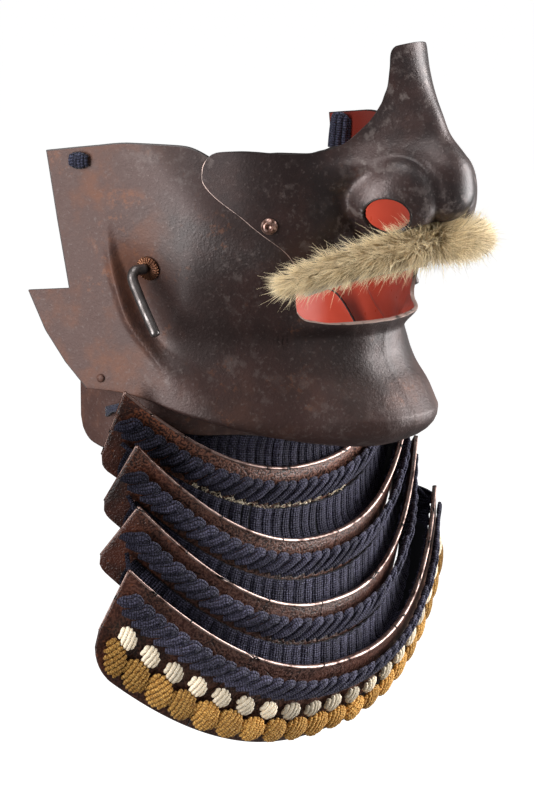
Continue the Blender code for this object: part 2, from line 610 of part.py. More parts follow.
def build_collar():
    """The plate inside the jaw that the throat guard hangs from."""
    columns = np.arange(len(COLLAR["x"]))
    at = np.linspace(0, columns[-1], 15)
    x, y, top, low = (ease(columns, COLLAR[key], at) for key in ("x", "y", "top", "bottom"))
    grid = np.stack([np.stack([x, y, low], axis=-1), np.stack([x, y, top], axis=-1)], axis=1)
    sheet("collar_plate", grid, COLLAR_THICK, "iron")
    seat = on_side(RIVET_SEAT["y"], RIVET_SEAT["z"])
    for side, sign in (("left", 1), ("right", -1)):
        rivet = turned(f"collar_rivet_{side}", RIVET, "iron", steps=10)
        place(rivet, mirrored(seat, sign), mirrored(SIDE_NORMAL, sign))


def build_throat():
    """Four lames, each with its loops of lacing and the curtain of cords that it hangs by."""
    for index in range(4):
        rows = np.linspace(0, lame_height(index), 4)
        lame = on_lame(index, bunched(16)[::-1, None], rows)
        sheet(f"throat_lame_{index + 1}", lame, LAME_THICK, "lacquer")
        rows = np.array([LACQUER_BAND, LACQUER_BAND + LOOP_BAND])
        loops = on_lame(index, bunched(16, LOOP_END)[::-1, None], rows, GAP)
        sheet(f"lacing_loops_{index + 1}", loops, LOOP_THICK, "indigo", offset=1.0)
        curtain = curtain_grid(index, bunched(13, CURTAIN_END)[::-1])
        sheet(f"lacing_curtain_{index + 1}", curtain, CURTAIN_THICK, "indigo", offset=0.0)
    knot_row("white_knots", WHITE_KNOTS, "white_silk")
    knot_row("gold_knots", GOLD_KNOTS, "gold_silk")
    for index in range(3):
        for side, sign in (("left", 1), ("right", -1)):
            route = mirrored(side_lace_route(index), sign)
            tube(f"side_lace_{side}_{index + 1}", route, SIDE_LACE["radius"], "indigo")


def curtain_grid(index, t):
    """A curtain of cords: from the piece above, down its face, and in behind this lame's rim."""
    half = CURTAIN_THICK / 2
    tuck = on_lame(index, t, CURTAIN_TUCK, -(LAME_THICK + 2.5 * GAP + half))
    if index == 0:
        start = collar_lower(t) + np.array([0.0, COLLAR_THICK / 2, -2 * GAP])
        start[:, 2] -= 3 * half * t
        knee = 0.5 * (start + tuck) + np.array([0.0, CURTAIN_BULGE, 0.0])
    else:
        start = on_lame(index - 1, t, LACQUER_BAND + LOOP_BAND + CURTAIN_BULGE, GAP + half)
        above = lame_height(index - 1) - CURTAIN_KNEE
        knee = on_lame(index - 1, t, above, GAP + half + CURTAIN_BULGE)
    bend = 2 * knee - (start + tuck) / 2
    shares = np.linspace(0, 1, 5)
    rows = [start * (1 - u) ** 2 + bend * 2 * u * (1 - u) + tuck * u * u for u in shares]
    return np.stack(rows, axis=1)


def knot_row(name, row, colour):
    """A row of cross knots along the bottom lame, joined by the cord that runs under them."""
    samples = np.linspace(0, row["end"], 200)
    line = on_lame(3, samples, row["down"])
    steps = np.linalg.norm(np.diff(line, axis=0), axis=1)
    arc = np.concatenate([[0.0], np.cumsum(steps)])
    edges = row["down"] + np.array([-1.0, 1.0])
    grid = on_lame(3, bunched(13, row["end"])[::-1, None], edges, GAP)
    cord = sheet(name, grid, CORD_THICK, colour, offset=1.0)
    work = bmesh.new()
    for spot in np.linspace(-arc[-1], arc[-1], row["count"]):
        t = np.interp(abs(spot), arc, samples)
        knot(work, t, row, 1 if spot >= 0 else -1)
    join = cord.modifiers.new("knots", "BOOLEAN")
    join.operation = "UNION"
    join.object = helper(name + "_beads", work)


def knot(work, t, row, sign):
    """One cross knot: a low cushion on the bottom lame's face."""
    foot = on_lame(3, t, row["down"], GAP + CORD_THICK / 4)
    axis = on_lame(3, t, row["down"], 1.0) - on_lame(3, t, row["down"])
    turn = Vector(mirrored(axis, sign)).to_track_quat("Z", "Y").to_matrix().to_4x4()
    seat = metres(mirrored(foot, sign))
    lift = Matrix.Translation((0.0, 0.0, 0.5 * row["proud"] * MM))
    bmesh.ops.create_cone(
        work, cap_ends=True, segments=8, depth=row["proud"] * MM,
        radius1=row["size"] / 2 * MM, radius2=row["crown"] / 2 * MM,
        matrix=Matrix.Translation(seat) @ turn @ lift,
    )


def side_lace_route(index):
    """The short lace at a lame's end, down to the rim of the one below."""
    gap = GAP + SIDE_LACE["radius"]
    start = on_lame(index, SIDE_LACE["start"], SIDE_LACE["from"], gap)
    end = on_lame(index + 1, SIDE_LACE["end"], SIDE_LACE["to"], -(LAME_THICK + gap))
    bowed = on_lame(index, SIDE_LACE["start"], SIDE_LACE["from"], gap + SIDE_LACE["bow"])
    return np.stack([start, 0.5 * (start + end) + bowed - start, end])


def main():
    for obj in list(bpy.data.objects):
        bpy.data.objects.remove(obj)
    for name in ("face_guard", "cutters"):
        bpy.context.scene.collection.children.link(bpy.data.collections.new(name))
    build_face()
    build_nose()
    build_collar()
    build_throat()


main()
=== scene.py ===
"""The looks of the samurai face guard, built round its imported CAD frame.

Each fine piece follows the tables of the CAD part, so it lies where the solid that it stands for
lies. Lengths in the tables are millimetres, for the wearer's left side, with +X to the wearer's
left, -Y ahead of the face and +Z up. They are measured from a point in the throat, and DATUM
moves them to the object's origin. Node scales are per metre.
"""

import math

import bpy
import numpy as np
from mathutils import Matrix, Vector


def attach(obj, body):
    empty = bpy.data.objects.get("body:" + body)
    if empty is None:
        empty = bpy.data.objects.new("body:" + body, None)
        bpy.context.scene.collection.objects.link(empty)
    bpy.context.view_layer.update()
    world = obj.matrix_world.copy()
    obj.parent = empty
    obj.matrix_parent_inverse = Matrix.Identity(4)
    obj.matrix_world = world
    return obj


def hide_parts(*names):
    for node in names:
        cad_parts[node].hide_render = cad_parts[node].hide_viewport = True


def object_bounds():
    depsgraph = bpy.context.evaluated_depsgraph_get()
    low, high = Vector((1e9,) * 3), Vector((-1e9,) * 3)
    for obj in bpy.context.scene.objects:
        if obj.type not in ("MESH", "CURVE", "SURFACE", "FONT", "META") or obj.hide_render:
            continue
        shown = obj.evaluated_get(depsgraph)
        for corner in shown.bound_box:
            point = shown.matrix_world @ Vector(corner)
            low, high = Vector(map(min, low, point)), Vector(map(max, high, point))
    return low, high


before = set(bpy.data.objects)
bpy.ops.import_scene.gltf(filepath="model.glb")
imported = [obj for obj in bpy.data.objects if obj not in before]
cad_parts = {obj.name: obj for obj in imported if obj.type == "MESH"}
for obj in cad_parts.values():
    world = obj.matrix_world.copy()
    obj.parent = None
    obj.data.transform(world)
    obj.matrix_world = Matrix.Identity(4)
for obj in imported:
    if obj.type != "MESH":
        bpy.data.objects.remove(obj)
cad_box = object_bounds()

MM = 0.001
DATUM = np.array([0.0, 60.0, -12.0])
MERGE = 0.000001  # metres, under which a mirror joins a plate's halves
GAP = 0.4  # clearance between pieces that touch
BEVEL = {"segments": 2, "turn": 72.0}  # on edges that turn by more degrees than this
RNG = np.random.default_rng(7)
UPWARD = np.array([0.0, 0.0, 1.0])
SIDES = (("left", 1), ("right", -1))

# Iron plates
FACE_THICK = 1.5
NOSE_THICK = 1.4
NOSE_PROUD = NOSE_THICK + 2 * GAP  # height of the nose plate where it laps the cheeks
COLLAR_THICK = 1.2
REAR_STRIP_Y = 17.0  # forward edge of the strip that holds the stepped rear edge
SPLAY = 0.364  # outward lean of the side panel toward the back, as a slope
FLANGE_X = 70.7  # half width of the side panel's plane at Y = 0
SIDE_NORMAL = np.array([0.94, -0.342, 0.0])
# Rear edge of the cheek plate, top to bottom: share of the plate's height, and Y
REAR_EDGE = {
    "share": (0.0, 0.292, 0.586, 0.597, 0.763, 0.895, 1.0),
    "y": (36.8, 32.9, 28.6, 44.5, 38.1, 30.5, 22.5),
}
# Top and bottom edge of the side panel, from front to back
SIDE_EDGES = {
    "y": (-24.0, -12.0, 5.0, 20.0, 37.0),
    "top": (106.5, 107.4, 107.5, 105.8, 103.4),
    "bottom": (4.5, 8.2, 13.0, 13.8, 13.8),
}
# Brim of the front: along the lower lip, up from the mouth corner, then under the nose plate
BRIM = {
    "x": (0.0, 13.9, 23.5, 30.2, 33.9, 35.6, 37.2, 40.0, 46.0, 54.0, 62.0),
    "z": (39.2, 39.5, 39.9, 40.9, 42.4, 45.4, 54.0, 68.0, 79.0, 93.0, 106.5),
}
# Lower edge of the front's outer face, where it turns under the jaw
JAW = {"x": (0.0, 25.0, 38.0, 50.0, 62.0), "z": (3.5, 3.0, 2.6, 3.4, 4.6)}
# Plan of the face at each height, without its nose: the Y at shares of the way out to the side
PLAN_SHARES = (0.0, 0.2, 0.4, 0.6, 0.8, 0.9, 1.0)
PLAN = {
    "z": (4.0, 12.0, 20.0, 27.0, 33.0, 40.0, 45.0, 57.0, 67.0, 80.0, 105.0),
    "middle": (-75.0, -69.0, -62.5, -59.5, -59.5, -62.5, -63.0, -67.0, -66.0, -66.0, -66.0),
    "lip": (-73.0, -67.0, -60.3, -57.0, -56.5, -60.6, -61.0, -64.3, -64.3, -64.5, -64.5),
    "lip_side": (-64.8, -59.7, -52.2, -49.0, -47.2, -54.2, -53.8, -57.5, -59.5, -60.9, -60.9),
    "corner": (-49.0, -45.5, -40.8, -37.5, -35.8, -40.0, -42.0, -46.6, -52.0, -54.8, -55.0),
    "cheek": (-36.3, -33.0, -29.7, -26.3, -24.6, -28.3, -30.5, -35.8, -42.0, -45.0, -45.5),
    "cheek_side": (-29.5, -26.0, -23.0, -20.3, -18.8, -22.0, -24.6, -30.0, -34.0, -36.8, -37.3),
    "side": (-20.0, -17.0, -14.0, -12.5, -12.0, -14.5, -17.0, -21.0, -23.0, -24.0, -24.0),
}
# Embossed cord guard down the side panel: its crest and the depth of the valley ahead of it
GUARD = {
    "z": (8.0, 15.0, 25.0, 37.0, 54.0, 72.0, 86.0, 97.0),
    "y": (-22.0, -16.0, -7.2, 3.0, 9.8, 13.4, 14.5, 15.0),
    "depth": (0.0, 1.8, 4.0, 5.2, 4.8, 0.6, 0.0, 0.0),
}
VALLEY = {"start": -0.5, "floor": 2.6, "end": 32.0}  # distances ahead of the crest
CREST = {"share": 0.3, "width": 2.2}  # height as a share of the valley's depth
# Flange turned in under the jaw: its inner edge, and how far it reaches in and bends down
UNDER = {
    "half_width": 49.8, "chin_y": -32.0, "side_y": -20.0, "chin_z": -9.0, "side_z": 3.0,
    "rear_reach": 3.0, "side_reach": 13.0, "rear_bend": 0.6, "side_bend": 2.5, "chin_bend": 10.5,
    "side_drop": 1.5, "knee": (0.57, 0.45),
}
# Nose plate, top to bottom: outline at the side, height on the centre line
NOSE = {
    "share": (
        0.0, 0.005, 0.012, 0.022, 0.04, 0.07, 0.16, 0.24, 0.31, 0.40, 0.49, 0.50, 0.512, 0.56, 0.66,
        0.80, 0.92, 1.0,
    ),
    "side_x": (
        8.6, 9.3, 9.9, 10.4, 10.9, 11.6, 14.6, 20.0, 28.0, 43.0, 58.0, 60.2, 61.4, 62.4, 55.5,
        44.0, 38.0, 35.0,
    ),
    "side_z": (
        143.5, 143.0, 142.4, 141.5, 139.9, 135.5, 124.0, 115.0, 108.4, 105.2, 106.0, 105.6,
        104.0, 96.0, 80.8, 67.8, 60.0, 54.0,
    ),
    "mid_z": (
        144.6, 144.2, 143.6, 142.6, 140.8, 138.0, 128.0, 119.0, 110.5, 101.0, 95.2, 94.7, 94.0,
        90.0, 82.5, 75.5, 66.0, 58.0,
    ),
}
RIDGE = {
    "z": (58.0, 66.0, 77.0, 82.0, 88.0, 94.0, 99.2, 104.4, 111.0, 118.5, 127.0, 135.0, 145.0),
    "front": (
        -61.0, -61.0, -66.0, -74.0, -84.0, -91.5, -94.4, -92.1, -87.1, -83.4, -78.7, -75.5, -73.0,
    ),
    "crest": (6.0, 6.0, 6.0, 6.0, 7.0, 8.0, 8.0, 6.5, 5.5, 5.5, 8.0, 10.5, 12.0),
    "slope": 1.6, "soft": 7.0,
}
NOSE_LAP = (21.0, 33.0)  # half widths between which the nose plate rises onto the cheeks
# A ball at the first height, with a stem above it
NOSE_TIP = {
    "z": (91.0, 97.0, 102.0, 107.0, 113.0, 120.0), "soft": 7.0, "fall": 2.0,
    "front": (-97.9, -96.5, -93.0, -86.0, -75.0, -50.0), "radius": (12.5, 12.3, 11.6, 10.5, 9.0, 8.0),
}
# The nostril's wing. A pair runs from the cheek's side of it to the nose's. The groove round it
# has its place as a share of the wing's reach, its width likewise, and its depth.
WING = {
    "centre": (15.1, -74.4, 88.2), "high": 15.2, "turn": (-12.0, 6.0), "long": (17.2, 16.4),
    "lift": (0.0, 5.5), "proud": (10.8, 6.9), "cap": (0.95, 0.995), "soft": (3.0, 1.0),
    "fall": 14.0, "clear": (0.0, 5.0), "groove": (1.03, 0.06, 0.9),
}
WING_LONG = np.array([-0.66, -0.75, 0.0])  # along the side of the nose
WING_OUT = np.array([0.75, -0.66, 0.0])
NOSTRIL = {"centre": (24.5, -79.0, 82.2), "axis": (0.75, -0.62, -0.2), "long": 8.8, "high": 7.4}
NOSTRIL_RING = {"radius": 0.42, "points": 61, "nearest": 12, "inset": 0.25}

# How many points the grids have, columns before rows. The face's rear strip, side panel and front
# each have their own columns, and its notch comes between two sets of rows.
FACE_GRID = {"across": (9, 74, 52), "down": (38, 28), "under": 12}
NOTCH = (0.584, 0.597)
SOFTENED = {"at": 2.0, "width": 0.16, "rounds": 160}  # the bend ahead of the side panel
NOSE_GRID = {"fine": (500, 400), "even": (100, 136), "rounds": 9}
COLLAR_GRID = (90, 8)
LAME_GRID = (92, 22)

# Throat lames, top to bottom: their top rim and foot, each a curve X = w t, rising as |t|**CURL
CURL = 2.3
LAMES = {
    "rim_w": (82.0, 83.0, 84.3, 92.9),
    "rim_mid": ((-23.1, -22.0), (-29.7, -49.7), (-33.9, -74.9), (-40.1, -98.2)),
    "rim_end": ((-0.6, 15.7), (-7.4, -3.8), (-9.4, -26.6), (-12.5, -48.5)),
    "foot_w": (84.0, 86.0, 90.0, 107.0),
    "foot_mid": ((-18.5, -51.5), (-25.0, -79.0), (-29.5, -104.0), (-25.5, -130.4)),
    "foot_end": ((11.8, -13.6), (9.6, -30.3), (8.6, -50.0), (-2.0, -83.0)),
    "corner": (4.0, 4.0, 4.0, 12.0),
}
ARC = 1.4  # a lame's half arc over its half width
LAME_THICK = 1.6
LACQUER_BAND = 4.6  # bare band between a rim and its row of loops
LOOP_BAND = 10.0
COLLAR = {
    "x": (0.0, 20.0, 38.0, 52.0, 61.0, 66.0, 67.0, 63.8),
    "y": (-25.0, -23.5, -18.0, -10.0, -1.5, 7.5, 22.0, 40.0),
    "top": (-4.0, -3.0, 0.0, 6.0, 12.0, 20.0, 33.0, 34.0),
    "bottom": (-12.0, -8.5, -5.5, -4.5, -2.0, 1.0, -12.0, -9.0),
}
COLLAR_LACED = 6  # columns of the collar's table ahead of its rear tabs
COLLAR_SPREAD = 73.0  # half width of the collar that would match a lame's half width
COLLAR_CORNER = 8.0
RIM = {
    "radius": 0.76, "thinned": 0.4, "down": 0.4, "out": -0.25, "points": 220,
    "end_radius": 0.42, "end_points": 30,
}
LOOP = {
    "strands": 4, "radius": 0.7, "spacing": 0.98, "crown": 1.2, "margin": 5.0, "pitch": 5.9,
    "points": 16, "uneven": 0.05, "drift": 0.25, "foot": (0.65, 0.0, 0.4), "head": (0.35, 0.75, 1.0),
    "slim": 0.3,
}
# Middle of a loop, from its foot to the curl of its head: pitches along the lame, shares of the
# band down it, and how far out in millimetres
LOOP_PATH = (
    (-0.85, 0.99, 0.3), (-0.34, 0.76, 1.2), (0.26, 0.42, 2.0), (0.66, 0.17, 2.6),
    (0.95, 0.20, 2.2), (1.02, 0.46, 0.7),
)
# The wearer's left end of a lame: how much of it is bare of loops, and how flat, by a share, the
# loops are pressed as they near it
FAR = {"bare": 4.0, "flat": 0.6, "from": (0.72, 0.95)}
# A curtain of hanging cords in groups. Its ends are shares of a lame's half width on the wearer's
# right and left, and it bellies out over a range of such shares.
CURTAIN = {
    "thick": 2.0, "tuck": 6.0, "ends": (0.9, 0.985), "groups": 38, "points": 13, "lap": 3.0,
    "below_loops": 1.6, "knee_up": 2.0, "knee_out": 1.5, "collar_sag": (0.0, 1.6, 0.0),
    "belly": 3.0, "bellied": (0.3, 0.8),
}
RIB = {
    "strands": 5, "radius": 0.74, "flat": 0.8, "spread": 0.98, "crown": 0.5, "sunk": 0.2,
    "uneven": 0.15, "sway": 0.35, "lean": 3.0, "bow": 0.9,
}
# A dark sheet of painted shade behind a curtain, for the depth of the lacing between its cords
SHADOW_SHEET = {"grid": (90, 10), "thick": 0.4, "edge": 0.1, "wider": 0.01}
# Rows of knots: how far down the bottom lame, and the share of its half width that they fill
WHITE_KNOTS = {
    "down": 19.2, "end": 0.93, "count": 19, "radius": 4.15, "proud": 3.2, "strands": 5,
    "wave": 0.10,
}
GOLD_KNOTS = {
    "down": 28.0, "end": 0.94, "count": 20, "radius": 6.2, "proud": 3.6, "strands": 7,
    "wave": 0.24,
}
# What the knots share. The tilt is a mean and a spread, in radians. "edge" is a little over 1, so
# that a knot's rim stands up, "dome" is how round its top is and "slim" how thin its cords' ends.
CUSHION = {
    "points": 17, "uneven": 0.035, "tilt": (0.25, 0.22), "spread": 0.98, "fat": 1.12, "seat": 0.6,
    "edge": 1.02, "dome": 0.8, "slim": 0.45,
}
WAVE_LENGTH = 2.7  # of the strands' waver
# Shares of a lame's half width, and distances down the lames and out from them
SIDE_LACE = {
    "radius": 0.5, "spread": 0.5, "pitch": 5.0, "spacing": 0.7, "top_share": 0.955,
    "below_loops": 2.0, "foot_share": 0.975, "foot_down": 4.0, "knee_share": 0.95, "knee_out": 0.6,
}
TAB_CORD = {
    "tab": (66.9, 23.0, 2.8), "lame": 0.985, "down": 6.0, "radius": 0.8, "rises": (-1.3, 0.0, 1.3),
    "knee": (1.0, 0.0, 0.6), "points": 14,
}
FRAYS = {
    "down": 15.4, "uneven": 0.5, "out": 0.4, "count": 150, "along": (-0.62, 0.25),
    "length": (1.0, 2.6), "radius": 0.17, "aim": (1.0, 0.5, 0.35), "curl": 0.3,
}

# Fittings on the wearer's left. A turned profile is (radius, height) from the top down.
HOLE_DEPTH = 8.0  # how far to either side of its centre a hole cuts
TEMPLE_HOLE = {"y": 23.8, "z": 100.3, "radius": 3.0}
# The knot outside it is an oval of cords that bulges
KNOT = {
    "cords": 6, "points": 13, "radius": 0.85, "half_width": 3.1, "half_height": 2.6, "oval": 4.2,
    "seat": 0.9, "bulge": 1.5, "round": 5.0,
}
# The bundle of cord ends inside it: for each point how far in from the cheek, how far above the
# hole, the degrees that it has turned down, how far it leans ahead, and its radius. The rises are
# scaled for each side.
BUNDLE = {
    "cords": 9, "points": 22, "radius": 1.15, "left": 1.0, "right": 0.35,
    "path": (
        (1.0, 0.0, 0.0, 0.2, 1.3), (3.0, 1.5, 20.0, 0.8, 2.0), (4.2, 2.6, 60.0, 1.5, 2.9),
        (4.8, -0.5, 90.0, 1.3, 3.3), (4.9, -5.0, 90.0, 0.7, 3.4), (4.9, -9.5, 90.0, 0.2, 3.5),
    ),
}
HOOK = {
    "y": -1.0, "z": 60.7, "radius": 2.05, "tip": 0.92, "spacing": 0.8,
    "rounding": (0.97, 0.035, 0.6),
}
HOOK_ROUTE = (
    (2.6, -0.3, 0.0), (7.0, 0.3, -0.2), (9.0, 0.0, -2.2), (9.6, -3.2, -8.0), (9.8, -12.5, -23.0),
)
WASHER = {"petals": 24, "steps": 6, "groove": 0.6, "band": ((2.0, 2.8), (4.65, 4.7))}
WASHER_PROFILE = (
    (0.0, 1.75), (1.9, 1.75), (2.2, 1.7), (3.2, 1.6), (4.1, 1.5), (4.6, 1.25), (4.7, 0.9),
    (4.7, 0.7), (0.0, 0.7),
)
STUD_SEAT = {"x": 50.3, "z": 79.0}
STUD = (
    (0.0, 0.9), (0.75, 0.95), (1.0, 1.5), (1.25, 1.95), (1.6, 2.1), (2.0, 1.95), (2.4, 1.5),
    (2.65, 0.95), (3.0, 0.8), (3.1, 0.4), (0.0, 0.4),
)
RIVET_SEAT = {"y": 16.7, "z": 18.0}
RIVET = ((0.0, 1.1), (0.6, 1.05), (1.1, 0.9), (1.4, 0.65), (1.6, 0.4), (0.0, 0.4))
MOUSTACHE = {
    "left": ((-3.0, -83.0, 71.4), (9.0, -86.0, 71.2), (19.0, -85.0, 70.4), (28.2, -82.0, 69.4)),
    "right": ((-2.0, -83.0, 71.4), (18.0, -82.0, 70.2), (36.0, -70.2, 65.2), (51.8, -54.6, 58.2)),
}
# Hair: its length and spread in millimetres, and the radius of each tuft of the moustache at
# shares of its length. "combed" is how flat a hair lies at the middle of the lip, and how much
# flatter at the tuft's end; "stands" is how far a hair points outward, less a share of that;
# "bend" is the shares of its first and of its bent direction in the whole hair.
FUR = {
    "hairs": 7900, "thick": 0.073, "taper": (1.0, 1.0, 0.75, 0.2), "core": 0.5, "layer": 0.35,
    "spacing": 1.0, "crowding": (1.05, 0.9), "length": (4.5, 8.5), "longer": 1.3, "cropped": 0.1,
    "unruly": 0.16, "stray": 0.25, "bunched": 0.2, "tuft": 1.7, "swept": 0.55, "droop": 0.12,
    "dense": 0.6, "combed": (0.35, 0.65), "stands": (1.15, 0.75), "leans": 1.3, "bend": (0.45, 0.55),
    "core_swell": 1.25, "core_end": (0.8, 0.4),
    "share": (0.0, 0.35, 0.7, 0.9, 1.0),
    "left": (5.0, 4.8, 4.6, 4.5, 3.6), "right": (5.0, 5.2, 4.4, 3.0, 1.5),
}
# The strip of hide under a tuft, over a part of the points on the tuft's middle
STRIP = {"below": (0.0, 0.2, 5.6), "part": (3, -6), "radius": 1.1, "flat": 0.5}

# The studio. A light has its name, direction from the object, distance in metres, width and
# height, and watts.
LIGHTS = (
    ("left_softbox", (-0.98, 0.12, 0.12), 1.1, (0.55, 1.2), 18.0),
    ("right_softbox", (0.80, -0.60, 0.12), 1.1, (0.72, 1.2), 29.0),
    ("top_softbox", (-0.2, -0.2, 1.0), 1.4, (0.9, 0.9), 9.0),
)
WORLD = 0.17
FLOOR = {"half_width": 60.0, "below": 0.22, "glow": 0.95}
CAMERA = {
    "azimuth": -49.4, "elevation": 11.4, "distance": 1.294, "lens": 148.5, "sensor": 36.0,
    "clip": (0.05, 50.0),
}


# ---------------------------------------------------------------- shapes shared with the CAD part


def ease(xs, ys, x):
    """A smooth curve through the points (xs, ys) that doesn't overshoot them, read at x. ys may
    hold a curve for each x, along its last axis."""
    xs, ys, x = np.asarray(xs, float), np.asarray(ys, float), np.asarray(x, float)
    step = np.diff(xs)
    rise = np.diff(ys) / step
    mean = (step[1:] * rise[..., :-1] + step[:-1] * rise[..., 1:]) / (step[1:] + step[:-1])
    limit = 3 * np.minimum(abs(rise[..., :-1]), abs(rise[..., 1:]))
    turns = rise[..., :-1] * rise[..., 1:] <= 0
    inner = np.where(turns, 0.0, np.sign(mean) * np.minimum(abs(mean), limit))
    slope = np.concatenate([rise[..., :1], inner, rise[..., -1:]], axis=-1)
    x = np.clip(x, xs[0], xs[-1])
    cell = np.clip(np.searchsorted(xs, x, side="right") - 1, 0, len(xs) - 2)
    width = step[cell]
    u = (x - xs[cell]) / width
    value = pick(ys, cell) * (1 + 2 * u) * (1 - u) ** 2 + pick(ys, cell + 1) * u * u * (3 - 2 * u)
    bend = pick(slope, cell) * (1 - u) - pick(slope, cell + 1) * u
    return value + width * u * (1 - u) * bend


def pick(values, index):
    """The values at an index, from one shared row or from a row for each index."""
    if values.ndim == 1:
        return values[index]
    return np.take_along_axis(values, index[..., None], axis=-1)[..., 0]


def ramp(low, high, x):
    """0 up to low, 1 from high, and smooth between."""
    u = np.clip((x - low) / (high - low), 0.0, 1.0)
    return u * u * (3 - 2 * u)


def unit(vectors):
    return vectors / np.maximum(np.linalg.norm(vectors, axis=-1, keepdims=True), 1e-9)


def side_y(z):
    return ease(PLAN["z"], PLAN["side"], z)


def face_y(x, z):
    """The face with its chin, lip and the hollow of the cheek, but no nose. Past the side panel's
    forward edge it goes on along the panel."""
    columns = np.stack([ease(PLAN["z"], PLAN[name], z) for name in list(PLAN)[1:]], axis=-1)
    side_x = FLANGE_X + SPLAY * columns[..., -1]
    return ease(PLAN_SHARES, columns, x / side_x) + np.maximum(x - side_x, 0) / SPLAY


def face_normal(x, z):
    across = face_y(x + 0.5, z) - face_y(x - 0.5, z)
    up = face_y(x, z + 0.5) - face_y(x, z - 0.5)
    return unit(np.stack([across, -np.ones_like(across), up], axis=-1))


def swell_wing(points):
    """Pushes the nostril's wing out of the side of the nose, as the cap of an ellipsoid. It runs
    softly into the cheek, and meets the nose steeply, in a groove."""
    local = points - np.array(WING["centre"])
    along, proud = local @ WING_LONG, local @ WING_OUT
    inward = ramp(*WING["turn"], along)
    long, lift, height, cap, soft = (
        WING[key][0] + (WING[key][1] - WING[key][0]) * inward
        for key in ("long", "lift", "proud", "cap", "soft")
    )
    inside = 1 - cap**2 * ((along / long) ** 2 + (local[..., 2] / WING["high"]) ** 2)
    level = np.sqrt(1 - cap**2)
    dome = lift + height * (np.sqrt(np.maximum(inside, 0)) - level) / (1 - level)
    dome = dome - WING["fall"] * np.sqrt(np.maximum(-inside, 0))
    at, width, deep = WING["groove"]
    trough = deep * inward * np.exp(-(((np.sqrt(1 - inside) - at) / width) ** 2))
    raised = -blend_forward(-dome, -proud, soft) - trough
    return points + (raised - proud)[..., None] * WING_OUT


def tip_y(x, z):
    """The nose's tip, a ball that runs up into the ridge as a round stem."""
    radius = ease(NOSE_TIP["z"], NOSE_TIP["radius"], z)
    below = np.minimum(z - NOSE_TIP["z"][0], 0)
    inside = radius**2 - x**2 - below**2
    centre = ease(NOSE_TIP["z"], NOSE_TIP["front"], z) + radius
    fall = NOSE_TIP["fall"] * np.sqrt(np.maximum(-inside, 0))
    return centre - np.sqrt(np.maximum(inside, 0)) + fall


def blend_forward(first, second, soft):
    """The foremost of two surfaces, rounded over a distance where they cross."""
    near = np.maximum(soft - abs(first - second), 0.0) / soft
    return np.minimum(first, second) - near * near * soft / 4


def nose_y(x, z):
    """The face with the nose's ridge, a rounded crest with straight sides, and its tip."""
    crest = RIDGE["slope"] * ease(RIDGE["z"], RIDGE["crest"], z)
    back = RIDGE["slope"] * (np.sqrt(crest**2 + x**2) - crest)
    bridge = blend_forward(face_y(x, z), ease(RIDGE["z"], RIDGE["front"], z) + back, RIDGE["soft"])
    return blend_forward(bridge, tip_y(x, z), NOSE_TIP["soft"])


def emboss(points):
    """Pushes the side panel in ahead of the cord guard, and its crest a little out."""
    y, z = points[..., 1], points[..., 2]
    ahead = ease(GUARD["z"], GUARD["y"], z) - y
    depth = ease(GUARD["z"], GUARD["depth"], z)
    valley = ramp(VALLEY["start"], VALLEY["floor"], ahead)
    valley = valley * (1 - ramp(VALLEY["floor"], VALLEY["end"], ahead))
    crest = CREST["share"] * np.exp(-((ahead / CREST["width"]) ** 2))
    return points + (depth * (crest - valley))[..., None] * SIDE_NORMAL


def on_side(y, z):
    return emboss(np.array([FLANGE_X + SPLAY * y, y, z]))


def side_normal(y, z):
    forward = on_side(y - 0.5, z) - on_side(y + 0.5, z)
    down = on_side(y, z - 0.5) - on_side(y, z + 0.5)
    return unit(np.cross(forward, down))


def face_surface(across, down, under):
    """The cheek-and-chin plate's outer face. across runs 0 at the rear edge, 1 ahead of the rear
    strip, 2 where the side panel ends, 3 at the centre line; down runs 0 at the brim to 1 at the
    jaw, and under from 0 there to 1 at the throat."""
    s, level = np.meshgrid(across, down, indexing="ij")
    strip, side, front = np.clip(s, 0, 1), np.clip(s - 1, 0, 1), np.clip(s - 2, 0, 1)
    rear = np.interp(level, REAR_EDGE["share"], REAR_EDGE["y"])
    z = SIDE_EDGES["top"][-1] + (SIDE_EDGES["bottom"][-1] - SIDE_EDGES["top"][-1]) * level
    for _ in range(3):
        y_side = rear + (REAR_STRIP_Y - rear) * strip + (side_y(z) - REAR_STRIP_Y) * side
        x = (FLANGE_X + SPLAY * y_side) * (1 - front)
        panel_top = ease(SIDE_EDGES["y"], SIDE_EDGES["top"], y_side)
        panel_low = ease(SIDE_EDGES["y"], SIDE_EDGES["bottom"], y_side)
        top = np.where(front > 0, ease(BRIM["x"], BRIM["z"], x), panel_top)
        low = np.where(front > 0, ease(JAW["x"], JAW["z"], x), panel_low)
        z = top + (low - top) * level
    y = np.where(front > 0, face_y(x, z), y_side)
    wall = emboss(np.stack([x, y, z], axis=-1))
    return np.concatenate([wall, flange(wall[:, -1], across, under[1:])], axis=1)


